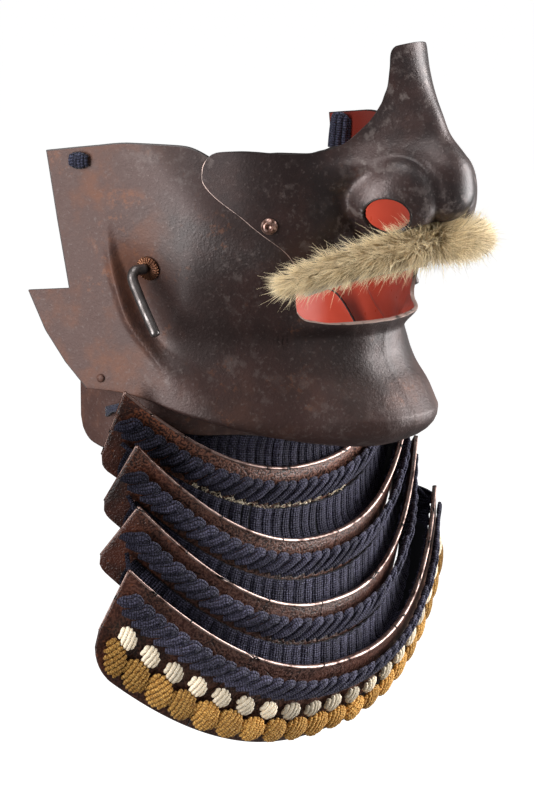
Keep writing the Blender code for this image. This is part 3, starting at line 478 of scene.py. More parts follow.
def flange(jaw, across, under):
    """The face's foot, a Bezier curve from the jaw down and back to the throat's edge."""
    side, wide = np.clip(across - 1, 0, 1), 1 - np.clip(across - 2, 0, 1)
    reach = UNDER["rear_reach"] + (UNDER["side_reach"] - UNDER["rear_reach"]) * side**3
    inward = jaw - reach[:, None] * SIDE_NORMAL
    inward[:, 2] -= UNDER["side_drop"] * side
    chin = np.stack([
        UNDER["half_width"] * wide,
        UNDER["chin_y"] + (UNDER["side_y"] - UNDER["chin_y"]) * wide**2,
        UNDER["chin_z"] + (UNDER["side_z"] - UNDER["chin_z"]) * wide**1.5,
    ], axis=-1)
    throat = np.where(wide[:, None] < 1, chin, inward)
    bend = UNDER["rear_bend"] + (UNDER["side_bend"] - UNDER["rear_bend"]) * side
    bend = bend + (UNDER["chin_bend"] - UNDER["side_bend"]) * (1 - wide**2)
    down = np.stack([0 * bend, 0 * bend, bend], axis=-1)
    out, lower = UNDER["knee"]
    knee = throat + out * (jaw - throat) * np.array([1, 1, 0]) - lower * down
    jaw, down, knee, throat = jaw[:, None], down[:, None], knee[:, None], throat[:, None]
    u = np.asarray(under)[:, None]
    first = jaw * (1 - u) ** 3 + 3 * (jaw - down) * u * (1 - u) ** 2
    return first + 3 * knee * u * u * (1 - u) + throat * u**3


def nose_surface(across, down):
    p, q = np.meshgrid(across, down, indexing="ij")
    side_x = ease(NOSE["share"], NOSE["side_x"], q)
    side_z = ease(NOSE["share"], NOSE["side_z"], q)
    mid_z = ease(NOSE["share"], NOSE["mid_z"], q)
    x = side_x * (1 - p)
    z = side_z + (mid_z - side_z) * (1 - (1 - p) ** 2)
    points = np.stack([x, nose_y(x, z), z], axis=-1)
    points += ramp(*WING["clear"], x)[..., None] * (swell_wing(points) - points)
    return points + (NOSE_PROUD * ramp(*NOSE_LAP, x))[..., None] * face_normal(x, z)


def spread_evenly(grid, count):
    """The grid with its columns moved along each row, so that they stand an even distance apart."""
    steps = np.linalg.norm(np.diff(grid, axis=0), axis=-1)
    arc = np.concatenate([np.zeros((1, grid.shape[1])), np.cumsum(steps, axis=0)])
    rows = []
    for j in range(grid.shape[1]):
        at = np.linspace(0.0, arc[-1, j], count)
        rows.append(np.stack([np.interp(at, arc[:, j], grid[:, j, k]) for k in range(3)], axis=-1))
    return np.stack(rows, axis=1)


def round_off(grid, rounds):
    """Rounds a grid's creases. Its edges stay, but for the last column, its line of symmetry."""
    grid = grid.copy()
    for _ in range(rounds):
        beyond = grid[-2:-1] * np.array([-1.0, 1.0, 1.0])
        wide = np.concatenate([grid, beyond])
        mean = (wide[:-2, 1:-1] + wide[2:, 1:-1] + wide[1:-1, :-2] + wide[1:-1, 2:]) / 4
        grid[1:, 1:-1] = (grid[1:, 1:-1] + mean) / 2
    return grid


def lame_height(index):
    return math.dist(LAMES["rim_mid"][index], LAMES["foot_mid"][index])


def lame_surface(index, t, v):
    corner = LAMES["corner"][index]
    near_end = np.clip(corner - (1 - t) * ARC * LAMES["rim_w"][index], 0, corner)
    v = v * (1 - (corner - np.sqrt(corner**2 - near_end**2)) / lame_height(index))
    rim = lame_edge("rim", index, t)
    return rim + (lame_edge("foot", index, t) - rim) * v[..., None]


def lame_edge(name, index, t):
    mid, end = LAMES[name + "_mid"][index], LAMES[name + "_end"][index]
    rise = t**CURL
    y = mid[0] + (end[0] - mid[0]) * rise
    z = mid[1] + (end[1] - mid[1]) * rise
    return np.stack([LAMES[name + "_w"][index] * t, y, z], axis=-1)


def lame_normal(index, t, v):
    step = 1e-3
    along = lame_surface(index, t + step, v) - lame_surface(index, abs(t - step), v)
    along = np.where((t < step)[..., None], np.array([1.0, 0.0, 0.0]), along)
    down = lame_surface(index, t, v + step) - lame_surface(index, t, v - step)
    return unit(np.cross(down, along))


def on_lame(index, s, down, out=0.0):
    """The point a distance down a lame from its rim and out from its face, for s from -1 at the
    wearer's right end to 1 at the left end, and its outward direction."""
    s, down = np.broadcast_arrays(np.asarray(s, float), np.asarray(down, float))
    v = down / lame_height(index)
    normal = lame_normal(index, abs(s), v)
    point = lame_surface(index, abs(s), v) + np.asarray(out)[..., None] * normal
    flip = np.where(s < 0, -1.0, 1.0)[..., None] * np.array([1.0, 0.0, 0.0]) + [0.0, 1.0, 1.0]
    return point * flip, normal * flip


class LameLine:
    """The line along a lame at one distance down it, measured by its length from the middle."""

    def __init__(self, index, down):
        self.index = index
        self.s = np.linspace(0.0, 1.0, 400)
        steps = np.linalg.norm(np.diff(on_lame(index, self.s, down)[0], axis=0), axis=1)
        self.arc = np.concatenate([[0.0], np.cumsum(steps)])

    def share(self, along):
        """How far along the lame, from -1 to 1, a signed length is."""
        return np.sign(along) * np.interp(abs(along), self.arc, self.s)

    def spots(self, count, end):
        """Even places from one end to the other, as lengths from the middle."""
        reach = np.interp(end, self.s, self.arc)
        return np.linspace(-reach, reach, count)


def collar_lower(s):
    """The collar's lower edge, in step with a lame from -1 to 1."""
    x = COLLAR_SPREAD * abs(s)
    knots, ahead, low = (COLLAR[key][:COLLAR_LACED] for key in ("x", "y", "bottom"))
    return np.stack([COLLAR_SPREAD * s, ease(knots, ahead, x), ease(knots, low, x)], axis=-1)


# ---------------------------------------------------------------- meshes


def metres(points):
    return (np.asarray(points, float) + DATUM) * MM


def mirrored(points, sign):
    return np.asarray(points, float) * np.array([sign, 1, 1])


def finish_piece(obj, replaces, materials):
    """Puts a piece in the scene, with its finish, the body it rides on and what it stands for."""
    bpy.context.scene.collection.objects.link(obj)
    for name in materials:
        obj.data.materials.append(MATERIALS[name])
    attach(obj, "root")
    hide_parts(*replaces)


def piece(name, parts, replaces, material):
    """A piece from parts, each (points in mm, faces, values along the cord, one tone)."""
    points, faces, along, tone = [], [], [], []
    for part_points, part_faces, part_along, part_tone in parts:
        start = sum(len(block) for block in points)
        points.append(part_points)
        faces.extend([[index + start for index in face] for face in part_faces])
        along.append(part_along)
        tone.append(part_tone)
    mesh = bpy.data.meshes.new(name)
    mesh.from_pydata(metres(np.concatenate(points)).tolist(), [], faces)
    for key, values in (("along", along), ("tone", tone)):
        layer = mesh.attributes.new(key, "FLOAT", "POINT")
        layer.data.foreach_set("value", np.concatenate(values).astype(np.float32))
    mesh.shade_smooth()
    finish_piece(bpy.data.objects.new(name, mesh), replaces, [material])


def cords(routes, radius, facing, sides=6, flat=1.0, tone=None):
    """Tubes along many routes at once, as one part. routes is (cord, point, xyz), facing the
    direction that each point's outer side looks, and flat the depth over the width."""
    routes = np.asarray(routes, float)
    count, length = routes.shape[:2]
    facing = np.broadcast_to(facing, routes.shape)
    tangent = unit(np.gradient(routes, axis=1))
    across = unit(np.cross(tangent, facing))
    up = np.cross(across, tangent)
    radius = np.broadcast_to(radius, (count, length))[:, :, None, None]
    angle = np.linspace(0, 2 * math.pi, sides, endpoint=False)[None, None, :, None]
    ring = np.cos(angle) * across[:, :, None] + flat * np.sin(angle) * up[:, :, None]
    points = (routes[:, :, None] + radius * ring).reshape(-1, 3)
    index = np.arange(count * length * sides).reshape(count, length, sides)
    after = np.roll(index, -1, axis=2)
    walls = np.stack([index[:, :-1], index[:, 1:], after[:, 1:], after[:, :-1]], axis=-1)
    faces = walls.reshape(-1, 4).tolist()
    faces += index[:, 0].tolist() + index[:, -1, ::-1].tolist()
    steps = np.linalg.norm(np.diff(routes, axis=1), axis=2)
    along = np.concatenate([np.zeros((count, 1)), np.cumsum(steps, axis=1)], axis=1)
    if tone is None:
        tone = RNG.random(count)
    tone = np.broadcast_to(np.asarray(tone)[:, None, None], (count, length, sides))
    along = np.broadcast_to(along[:, :, None], (count, length, sides))
    return points, faces, along.ravel(), tone.ravel()


def smooth_route(points, spacing):
    """Points at an even spacing on a smooth curve through the given ones."""
    length = np.linalg.norm(np.diff(np.asarray(points, float), axis=0), axis=1).sum()
    return even_route(points, max(4, int(length / spacing) + 1))


def even_route(points, count):
    """A number of points at an even spacing on a smooth curve through the given ones."""
    points = np.asarray(points, float)
    steps = np.linalg.norm(np.diff(points, axis=0), axis=1)
    knots = np.concatenate([[0.0], np.cumsum(steps)])
    at = np.linspace(0.0, knots[-1], count)
    return np.stack([ease(knots, points[:, k], at) for k in range(points.shape[1])], axis=-1)


def braid(route, radius, spread, pitch, facing, strands=3, sides=8):
    """A cord of strands laid round each other along a route."""
    route = np.asarray(route, float)
    facing = np.broadcast_to(facing, route.shape)
    tangent = unit(np.gradient(route, axis=0))
    across = unit(np.cross(tangent, facing))
    up = np.cross(across, tangent)
    steps = np.linalg.norm(np.diff(route, axis=0), axis=1)
    along = np.concatenate([[0.0], np.cumsum(steps)])
    turn = 2 * math.pi * (along[None] / pitch + np.arange(strands)[:, None] / strands)
    around = np.cos(turn)[..., None] * across + np.sin(turn)[..., None] * up
    return cords(route + spread * around, radius, facing, sides)


def with_margin(grid, width):
    """The grid with one more column, at a distance from its first."""
    step = grid[1] - grid[0]
    share = np.minimum(width / np.linalg.norm(step, axis=-1, keepdims=True), 0.6)
    return np.concatenate([grid[:1], (grid[0] + share * step)[None], grid[1:]])


def shell(name, grid, thick, replaces, materials, holes=(), edge=0.3, margin=0.0):
    """A wall from a half grid of points on its outer face, mirrored and thickened. Its outer
    face, inner face and edge take the three materials, and a margin along the grid's first
    column and row takes the edge's."""
    if margin:
        grid = with_margin(with_margin(grid, margin).swapaxes(0, 1), margin).swapaxes(0, 1)
    columns, rows = grid.shape[:2]
    corner = np.arange(columns * rows).reshape(columns, rows)
    faces = np.stack([corner[:-1, :-1], corner[1:, :-1], corner[1:, 1:], corner[:-1, 1:]], axis=-1)
    on_margin = np.zeros(faces.shape[:2], bool)
    on_margin[0] = on_margin[:, 0] = margin > 0
    points, faces, kept = pierce(grid.reshape(-1, 3), faces.reshape(-1, 4), holes)
    mesh = bpy.data.meshes.new(name)
    mesh.from_pydata(metres(points).tolist(), [], faces.tolist())
    mesh.shade_smooth()
    # The margin takes the edge's paint: painted shade, with a pale line of wear and painted highlight in
    # places
    for index in np.flatnonzero(on_margin.reshape(-1)[kept]):
        mesh.polygons[index].material_index = 2
    obj = bpy.data.objects.new(name, mesh)
    finish_piece(obj, replaces, materials)
    mirror = obj.modifiers.new("mirror", "MIRROR")
    mirror.merge_threshold = MERGE
    solid = obj.modifiers.new("thickness", "SOLIDIFY")
    solid.thickness = thick * MM
    solid.offset = -1.0
    solid.material_offset = 1
    solid.material_offset_rim = 2
    bevel = obj.modifiers.new("edge", "BEVEL")
    bevel.width = edge * MM
    bevel.segments = BEVEL["segments"]
    bevel.material = 2
    bevel.limit_method = "ANGLE"
    bevel.angle_limit = math.radians(BEVEL["turn"])


def pierce(points, faces, holes):
    """Takes oval holes, each (centre, axis, half width, half height), out of a surface, and says
    which of its faces are kept. The corners round a hole move onto its edge."""
    points = points.copy()
    kept = np.ones(len(faces), bool)
    for centre, axis, wide, high in holes:
        axis = unit(np.array(axis))
        level = unit(np.cross([0.0, 0.0, 1.0], axis))
        local = points - centre
        depth = local @ axis
        reach = np.hypot(local @ level / wide, local @ np.cross(axis, level) / high)
        inside = (reach[faces].mean(axis=1) < 1) & (abs(depth[faces[:, 0]]) < HOLE_DEPTH)
        edge = np.intersect1d(faces[inside], faces[kept & ~inside])
        kept &= ~inside
        outward = local[edge] - depth[edge, None] * axis
        points[edge] += (1 / reach[edge, None] - 1) * outward
    used, index = np.unique(faces[kept], return_inverse=True)
    return points[used], index.reshape(-1, 4), kept


def turned(profile, centre, axis, steps=48, groove=None):
    """A round part from its profile, standing on a point along an axis."""
    profile = np.asarray(profile, float)
    angle = np.linspace(0, 2 * math.pi, steps, endpoint=False)
    radius, height = profile[:, 0, None], profile[:, 1, None] + 0 * angle
    if groove is not None:
        height = height - groove(radius, angle)
    local = np.stack([radius * np.cos(angle), radius * np.sin(angle), height], axis=-1)
    turn = np.array(Vector(axis).to_track_quat("Z", "Y").to_matrix())
    points = local.reshape(-1, 3) @ turn.T + centre
    index = np.arange(len(points)).reshape(len(profile), steps)
    after = np.roll(index, -1, axis=1)
    walls = np.stack([index[:-1], index[1:], after[1:], after[:-1]], axis=-1)
    return points, walls.reshape(-1, 4).tolist(), np.zeros(len(points)), np.zeros(len(points))


# ---------------------------------------------------------------- materials

# Colours are linear shares of red, green and blue. "mottle" is the share of pale grey, "rust" how
# far rust spreads, "skin" how deep the leathery grain is, and "burst" the middle of a patch of
# rust on the wearer's right cheek, in metres.
IRON = {
    "russet_iron": {
        "dark": (0.024, 0.014, 0.013), "brown": (0.050, 0.024, 0.021), "mottle": 0.5, "rust": 1.0,
        "rough": 0.41, "skin": 1.0, "burst": (-0.0747, 0.069, 0.075),
    },
    "nose_iron": {
        "dark": (0.022, 0.014, 0.014), "brown": (0.052, 0.026, 0.023), "mottle": 1.0, "rust": 0.2,
        "rough": 0.34, "skin": 0.7, "burst": None,
    },
}
BURST = {"squash": (1.0, 1.0, 3.6), "fade": (0.015, 0.006)}
LEATHER = {"cells": 1300.0, "stir_scale": 500.0, "stir": 0.0006}
# Where the iron is painted darker, as painted shade, and also made duller: under the brim by the
# nose plate, and along the jaw. A zone's rear edge leans back for each metre up. The zone fades in
# ahead of that edge, between two heights, and between two distances from the middle.
SHADED_DULL_ZONES = (
    {"lean": 0.733, "ahead": (-0.0062, -0.0202), "up": (0.050, 0.064), "out": (0.034, 0.048)},
    {"lean": 0.62, "ahead": (0.0445, 0.0365), "up": (0.060, 0.040), "out": (0.020, 0.040)},
)
# Cut edges are near black, as painted shade on their thickness, and carry a pale line in places,
# partly rubbed metal and partly painted highlight. This fades in between two distances from the
# middle, in between two heights, and out between two more.
EDGES = {
    "lip_edge": ((0.046, 0.040), (0.016, 0.020), (0.060, 0.052)),
    "seam_edge": ((0.031, 0.034), (0.030, 0.036), (0.0915, 0.0890)),
}
# How worn each lame is along its front
HIDES = {
    "lacquered_hide_1": (1.0,), "lacquered_hide_2": (0.55,), "lacquered_hide_3": (0.4,),
    "lacquered_hide_4": (0.4,),
}
# Metal fittings: dull colour, rubbed colour, and how many patches of them there are in a metre
METALS = {
    "hook_iron": ((0.10, 0.088, 0.085), (0.20, 0.18, 0.175), 300.0),
    "stud_copper": ((0.12, 0.06, 0.045), (0.62, 0.40, 0.34), 500.0),
    "washer_copper": ((0.070, 0.030, 0.018), (0.20, 0.09, 0.05), 120.0),
}
# Plaited cord: its colour between the strands, which is painted shade in the plaits' grooves and
# the colour of darker thread; on them; and on glinting threads, which is a painted glint; the depth
# of its plaits in millimetres; and how much darker it is made toward the back
SILKS = {
    "indigo_silk": ((0.013, 0.011, 0.020), (0.112, 0.106, 0.170), (0.34, 0.34, 0.42), 0.14, 0.82),
    "tied_silk": ((0.009, 0.009, 0.017), (0.060, 0.063, 0.108), (0.21, 0.215, 0.28), 0.14, 0.0),
    "indigo_shadow": ((0.004, 0.004, 0.007), (0.012, 0.013, 0.02), (0.02, 0.02, 0.03), 0.14, 0.0),
    "white_silk": ((0.85, 0.70, 0.50), (1.0, 0.90, 0.73), (1.0, 1.0, 0.92), 0.05, 0.0),
    "gold_silk": ((0.36, 0.155, 0.028), (0.95, 0.56, 0.16), (1.0, 0.82, 0.45), 0.05, 0.75),
    "moustache_hide": ((0.6, 0.52, 0.42), (0.8, 0.75, 0.68), (0.9, 0.88, 0.84), 0.14, 0.0),
}
PLAIT = 1.9  # length of a plait, in millimetres


class Signal:
    """A number or a colour on its way through a material's nodes. Arithmetic on it adds nodes."""

    def __init__(self, paint, socket):
        self.paint = paint
        self.socket = socket

    def __add__(self, other):
        return self.paint.math("ADD", self, other)

    def __mul__(self, other):
        return self.paint.math("MULTIPLY", self, other)

    def size(self):
        return self.paint.math("ABSOLUTE", self, 0.0)

    def between(self, low, high):
        """0 up to low and 1 from high, or the other way round where high is the smaller."""
        inputs = {"Value": self, "From Min": low, "From Max": high}
        return self.paint.node("ShaderNodeMapRange", 0, inputs, interpolation_type="SMOOTHSTEP")


class Paint:
    """A material's node tree. Its colour starts plain, and layers go over it."""

    def __init__(self, name, colour):
        self.material = bpy.data.materials.new(name)
        self.material.use_nodes = True
        self.tree = self.material.node_tree
        self.shader = self.tree.nodes["Principled BSDF"]
        self.colour = (*colour, 1.0)
        self.normal = None
        self.at = self.node("ShaderNodeTexCoord", "Object", {})
        self.x, self.y, self.z = (
            self.node("ShaderNodeSeparateXYZ", axis, {0: self.at}) for axis in "XYZ"
        )

    def connect(self, socket, value):
        if isinstance(value, Signal):
            self.tree.links.new(value.socket, socket)
        else:
            socket.default_value = value

    def node(self, kind, output, inputs, **settings):
        made = self.tree.nodes.new(kind)
        for key, value in settings.items():
            setattr(made, key, value)
        for key, value in inputs.items():
            self.connect(made.inputs[key], value)
        return Signal(self, made.outputs[output])

    def noise(self, scale, detail=3.0, rough=0.55):
        """Noise with some features to the metre, from 0 to 1 and mostly near a half."""
        inputs = {"Vector": self.at, "Scale": scale, "Detail": detail, "Roughness": rough}
        return self.node("ShaderNodeTexNoise", "Fac", inputs)

    def cells(self, scale, feature, at):
        inputs = {"Vector": at, "Scale": scale}
        return self.node("ShaderNodeTexVoronoi", "Distance", inputs, feature=feature)

    def cracks(self, low, high):
        """1 on the lines between cells some 30 mm wide, and 0 off them."""
        return self.cells(30.0, "DISTANCE_TO_EDGE", self.at).between(low, high)

    def math(self, operation, first, second):
        return self.node("ShaderNodeMath", 0, {0: first, 1: second}, operation=operation)

    def vector(self, operation, output, inputs):
        return self.node("ShaderNodeVectorMath", output, inputs, operation=operation)

    def value(self, name):
        """A number that the mesh carries at its points."""
        return self.node("ShaderNodeAttribute", "Fac", {}, attribute_name=name)

    def layer(self, share, colour):
        """Lays a colour over what is there, as thickly as the share says."""
        inputs = {"Factor": share, 6: self.colour, 7: (*colour, 1.0)}
        self.colour = self.node("ShaderNodeMix", 2, inputs, data_type="RGBA")

    def bump(self, height, distance, strength):
        """Raises the surface by up to a distance in millimetres."""
        inputs = {"Height": height, "Distance": distance * MM, "Strength": strength}
        if self.normal:
            inputs["Normal"] = self.normal
        self.normal = self.node("ShaderNodeBump", "Normal", inputs)

    def finish(self, **sockets):
        """Sets or links the shader's own sockets, their spaces written as underscores."""
        self.connect(self.shader.inputs["Base Color"], self.colour)
        if self.normal:
            self.connect(self.shader.inputs["Normal"], self.normal)
        for key, value in sockets.items():
            self.connect(self.shader.inputs[key.replace("_", " ")], value)
        return self.material


def shaded_dull_mask(paint):
    """1 in the zones of painted shade, where the iron is also duller, and 0 outside them."""
    zones = []
    for zone in SHADED_DULL_ZONES:
        behind = paint.y + paint.z * -zone["lean"]
        inside = behind.between(*zone["ahead"]) * paint.z.between(*zone["up"])
        zones.append(inside * paint.x.size().between(*zone["out"]))
    return paint.math("MAXIMUM", *zones)


def iron_paint(name, dark, brown, mottle, rust, rough, skin, burst):
    """Russet iron: a leathery skin in patches of brown, mottled with paler grey. Toward the back
    and along the jaw it reddens, with orange rust. Painted shade darkens it under the brim by
    the nose plate and along the jaw."""
    paint = Paint(name, dark)
    patches = paint.noise(34.0, 5.0, 0.62)
    paint.layer(patches.between(0.38, 0.64), brown)
    blotches = paint.noise(190.0, 4.0, 0.62).between(0.50, 0.66)
    thinned = paint.noise(30.0, 2.0, 0.5).between(0.40, 0.62)
    paint.layer(blotches * thinned * mottle, (0.150, 0.118, 0.110))
    rear, low = paint.y.between(0.040, 0.078), paint.z.between(0.020, -0.004)
    worn = paint.math("MAXIMUM", rear, low * 0.28) * rust
    paint.layer(worn * 0.8, (0.080, 0.032, 0.023))
    stains = paint.noise(55.0, 4.0, 0.6).between(0.45, 0.68) * worn
    paint.layer(stains, (0.155, 0.062, 0.036))
    fine = paint.noise(330.0, 5.0, 0.66)
    clouds = paint.noise(48.0, 3.0, 0.6).between(0.52, 0.66)
    paint.layer(fine.between(0.53, 0.64) * clouds * rust * 0.5, (0.20, 0.075, 0.034))
    if burst:
        local = paint.vector("SUBTRACT", 0, {0: paint.at, 1: burst})
        local = paint.vector("MULTIPLY", 0, {0: local, 1: BURST["squash"]})
        near = paint.vector("LENGTH", "Value", {0: local}).between(*BURST["fade"])
        paint.layer(near * fine.between(0.44, 0.56) * 0.65, (0.17, 0.060, 0.026))
    grain = paint.noise(760.0, 3.0, 0.6)
    paint.layer(grain.between(0.56, 0.74) * 0.30, (0.20, 0.16, 0.15))
    # Painted shade: darker colour in the dull zones, which are also rougher and reflect less
    dull = shaded_dull_mask(paint)
    paint.layer(dull * 0.45, (0.022, 0.011, 0.010))
    inputs = {"Vector": paint.at, "Scale": LEATHER["stir_scale"]}
    stir = paint.node("ShaderNodeTexNoise", "Color", inputs)
    stir = paint.vector("SCALE", 0, {0: stir, "Scale": LEATHER["stir"]})
    stirred = paint.vector("ADD", 0, {0: paint.at, 1: stir})
    paint.bump(paint.cells(LEATHER["cells"], "SMOOTH_F1", stirred), 0.15, 0.6 * skin)
    paint.bump(grain, 0.20, 0.8 * skin)
    paint.bump(paint.noise(90.0, 3.0, 0.5), 0.9, 0.4 * skin)
    rough = worn * 0.16 + rough + patches * 0.14 + dull * 0.17 + stains * 0.14
    return paint.finish(
        Roughness=rough, Metallic=0.35, Specular_IOR_Level=dull * -0.38 + 0.65, Coat_Weight=0.15,
        Coat_Roughness=0.35,
    )


def edge_paint(name, out, low, high):
    """The plates' cut edges: nearly black, as painted shade on their thickness, but in places a
    pale line that is partly rubbed metal and partly painted highlight.
    """
    paint = Paint(name, (0.020, 0.013, 0.012))
    # Where the pale line of rubbed metal and painted highlight shows
    bright = paint.x.size().between(*out) * paint.z.between(*low) * paint.z.between(*high)
    paint.layer(paint.noise(160.0, 4.0, 0.6).between(0.30, 0.50) * bright, (0.50, 0.36, 0.31))
    paint.bump(paint.noise(900.0), 0.1, 0.6)
    return paint.finish(Roughness=0.42, Metallic=0.3)


def red_paint():
    """Red lacquer, a little darker in the hollows of its brushed ground, and much darker toward
    the top.
    """
    paint = Paint("red_lacquer", (0.76, 0.100, 0.050))
    paint.layer(paint.noise(40.0, 3.0, 0.55), (0.58, 0.056, 0.028))
    paint.layer(paint.z.between(0.072, 0.084) * 0.9, (0.10, 0.016, 0.012))
    paint.bump(paint.noise(90.0, 2.0, 0.5), 0.6, 0.3)
    rough = paint.noise(300.0, 2.0, 0.5).between(0.2, 0.9) * 0.12 + 0.27
    return paint.finish(Roughness=rough, Specular_IOR_Level=0.3, Coat_Weight=0.15, Coat_Roughness=0.2)


def hide_paint(name, front_wear):
    """Stippled brown lacquer on hide, worn to copper along the front, and finely cracked."""
    paint = Paint(name, (0.011, 0.004, 0.003))
    paint.layer(paint.noise(60.0, 4.0, 0.6).between(0.38, 0.66), (0.050, 0.014, 0.008))
    grain = paint.noise(1100.0, 2.0, 0.55)
    side = paint.y.between(0.066, 0.052) * front_wear * grain.between(0.42, 0.58)
    paint.layer(side * side, (0.21, 0.062, 0.024))
    front = paint.y.between(0.062, 0.022) * front_wear * grain.between(0.38, 0.6)
    paint.layer(front, (0.33, 0.18, 0.145))
    paint.layer(paint.noise(500.0, 3.0, 0.6).between(0.6, 0.7) * 0.4, (0.16, 0.05, 0.018))
    cracks = paint.cracks(0.012, 0.003) * paint.noise(25.0).between(0.5, 0.62)
    paint.layer(cracks, (0.006, 0.004, 0.004))
    paint.bump(grain, 0.45, 0.9)
    paint.bump(cracks, -0.3, 0.8)
    return paint.finish(Roughness=0.33, Specular_IOR_Level=0.4, Coat_Weight=0.1)


def rim_paint():
    """The rolled copper rims: bright where rubbed, more so toward the front, partly as painted
    highlight, and cracked across at odd places.
    """
    paint = Paint("worn_copper_rim", (0.045, 0.015, 0.009))
    rubbed = paint.noise(150.0, 4.0, 0.6).between(0.34, 0.56)
    # Brighter toward the front: partly rubbed copper, partly painted highlight
    paint.layer(rubbed * (paint.y.between(0.075, 0.020) * 0.75 + 0.12), (0.56, 0.39, 0.34))
    cracks = paint.cracks(0.014, 0.004)
    paint.layer(cracks, (0.004, 0.003, 0.003))
    paint.bump(paint.noise(700.0, 3.0), 0.15, 0.6)
    paint.bump(cracks, -0.5, 0.8)
    return paint.finish(Roughness=0.3, Metallic=0.6)


def silk_paint(name, deep, pale, bright, depth, back_darkening):
    """Plaited silk cord: slanted strands, flecks of paler thread, painted shade in the plaits'
    grooves, painted glints, and fuzz.
    """
    paint = Paint(name, deep)
    plaits = paint.math("SINE", paint.value("along") * (2 * math.pi / PLAIT), 0.0).size()
    flecks = paint.noise(1500.0, 3.0, 0.65)
    # Paler thread in flecks on the plaits' crests; the deep colour left in their grooves is painted
    # shade
    paint.layer(flecks.between(0.38, 0.60) * plaits.between(0.1, 0.8), pale)
    # Painted glints: small specks of the bright colour
    paint.layer(paint.noise(2300.0, 2.0, 0.5).between(0.62, 0.75) * 0.6, bright)
    light = paint.value("tone") * 0.5 + 0.7
    shine, fuzz = 0.18, 0.12
    # Darker toward the back, with less sheen and shine there
    if back_darkening:
        back_fade = paint.y.between(0.030, 0.060) * -back_darkening + 1.0
        light, shine, fuzz = light * back_fade, back_fade * shine, back_fade * fuzz
    inputs = {"Color": paint.colour, "Value": light}
    paint.colour = paint.node("ShaderNodeHueSaturation", 0, inputs)
    paint.bump(plaits, depth, 0.9)
    paint.bump(flecks, 0.22, 0.8)
    return paint.finish(
        Roughness=0.75, Sheen_Weight=fuzz, Sheen_Roughness=0.4, Specular_IOR_Level=shine,
    )


def fur_paint():
    """Straw-coloured hair, dark at the root and pale at the tip, with painted shadow in clumps
    near the roots.
    """
    paint = Paint("fur", (0.52, 0.36, 0.17))
    along = paint.value("along")
    paint.layer(along.between(0.0, 6.0), (0.94, 0.79, 0.52))
    # Painted shadow in clumps near the hairs' roots
    root_shadow = along.between(4.5, 1.5) * 0.8 * paint.noise(260.0, 3.0, 0.6).between(0.50, 0.60)
    paint.layer(root_shadow, (0.15, 0.09, 0.035))
    paint.layer(paint.value("tone").between(0.88, 0.97), (0.20, 0.13, 0.06))
    paint.layer(paint.noise(160.0) * 0.25, (0.78, 0.56, 0.26))
    return paint.finish(Roughness=0.55, Specular_IOR_Level=0.3, Sheen_Weight=0.1)


def metal_paint(name, dull, bright, patches):
    """Bare metal, dull but for the patches where it is rubbed."""
    paint = Paint(name, dull)
    rubbed = paint.noise(patches, 3.0, 0.6).between(0.4, 0.62)
    paint.layer(rubbed, bright)
    paint.bump(paint.noise(1200.0), 0.08, 0.7)
    return paint.finish(Roughness=rubbed * -0.15 + 0.45, Metallic=0.9)


def make_materials():
    """Every material, by the name of its recipe."""
    made = {name: iron_paint(name, **recipe) for name, recipe in IRON.items()}
    tables = ((edge_paint, EDGES), (metal_paint, METALS), (silk_paint, SILKS), (hide_paint, HIDES))
    for paint, recipes in tables:
        for name, recipe in recipes.items():
            made[name] = paint(name, *recipe)
    made["red_lacquer"] = red_paint()
    made["worn_copper_rim"] = rim_paint()
    made["fur"] = fur_paint()
    return made


MATERIALS = make_materials()


# ---------------------------------------------------------------- the mask


def soften(grid, weight, rounds):
    """Smooths a grid along its columns, as much as each column's weight says."""
    for _ in range(rounds):
        middle = (grid[:-2] + grid[2:]) / 2 - grid[1:-1]
        grid[1:-1] += 0.5 * weight[1:-1, None, None] * middle
    return grid


def build_face():
    rear, side, front = (
        np.linspace(first, first + 1, count) for first, count in enumerate(FACE_GRID["across"])
    )
    across = np.concatenate([rear, side[1:], front[1:]])
    upper, lower = FACE_GRID["down"]
    down = np.concatenate([np.linspace(0, NOTCH[0], upper), np.linspace(NOTCH[1], 1.0, lower)])
    wall = face_surface(across, down, np.linspace(0, 1, FACE_GRID["under"]))
    weight = np.exp(-(((across - SOFTENED["at"]) / SOFTENED["width"]) ** 2))
    wall = soften(wall, weight, SOFTENED["rounds"])
    size = TEMPLE_HOLE["radius"]
    holes = [(on_side(TEMPLE_HOLE["y"], TEMPLE_HOLE["z"]), SIDE_NORMAL, size, size)]
    skins = ["russet_iron", "red_lacquer", "lip_edge"]
    shell("face_shell", wall, FACE_THICK, ["face_plate"], skins, holes, margin=0.4)


def build_nose():
    fine_across, fine_down = (np.linspace(0, 1, count) for count in NOSE_GRID["fine"])
    columns, rows = NOSE_GRID["even"]
    grid = spread_evenly(nose_surface(fine_across, fine_down), columns)
    grid = spread_evenly(grid.swapaxes(0, 1), rows).swapaxes(0, 1)
    grid = round_off(grid, NOSE_GRID["rounds"])
    holes = [(NOSTRIL["centre"], NOSTRIL["axis"], NOSTRIL["long"], NOSTRIL["high"])]
    skins = ["nose_iron", "red_lacquer", "seam_edge"]
    shell("nose_shell", grid, NOSE_THICK, ["nose_plate"], skins, holes, margin=0.25)
    # Round each nostril, a ring in the seam's edge paint, near black as painted shade
    ring = nostril_ring(grid.reshape(-1, 3))
    for side, sign in SIDES:
        part = cords(mirrored(ring, sign)[None], NOSTRIL_RING["radius"], UPWARD, sides=8)
        piece("nostril_edge_" + side, [part], [], "seam_edge")


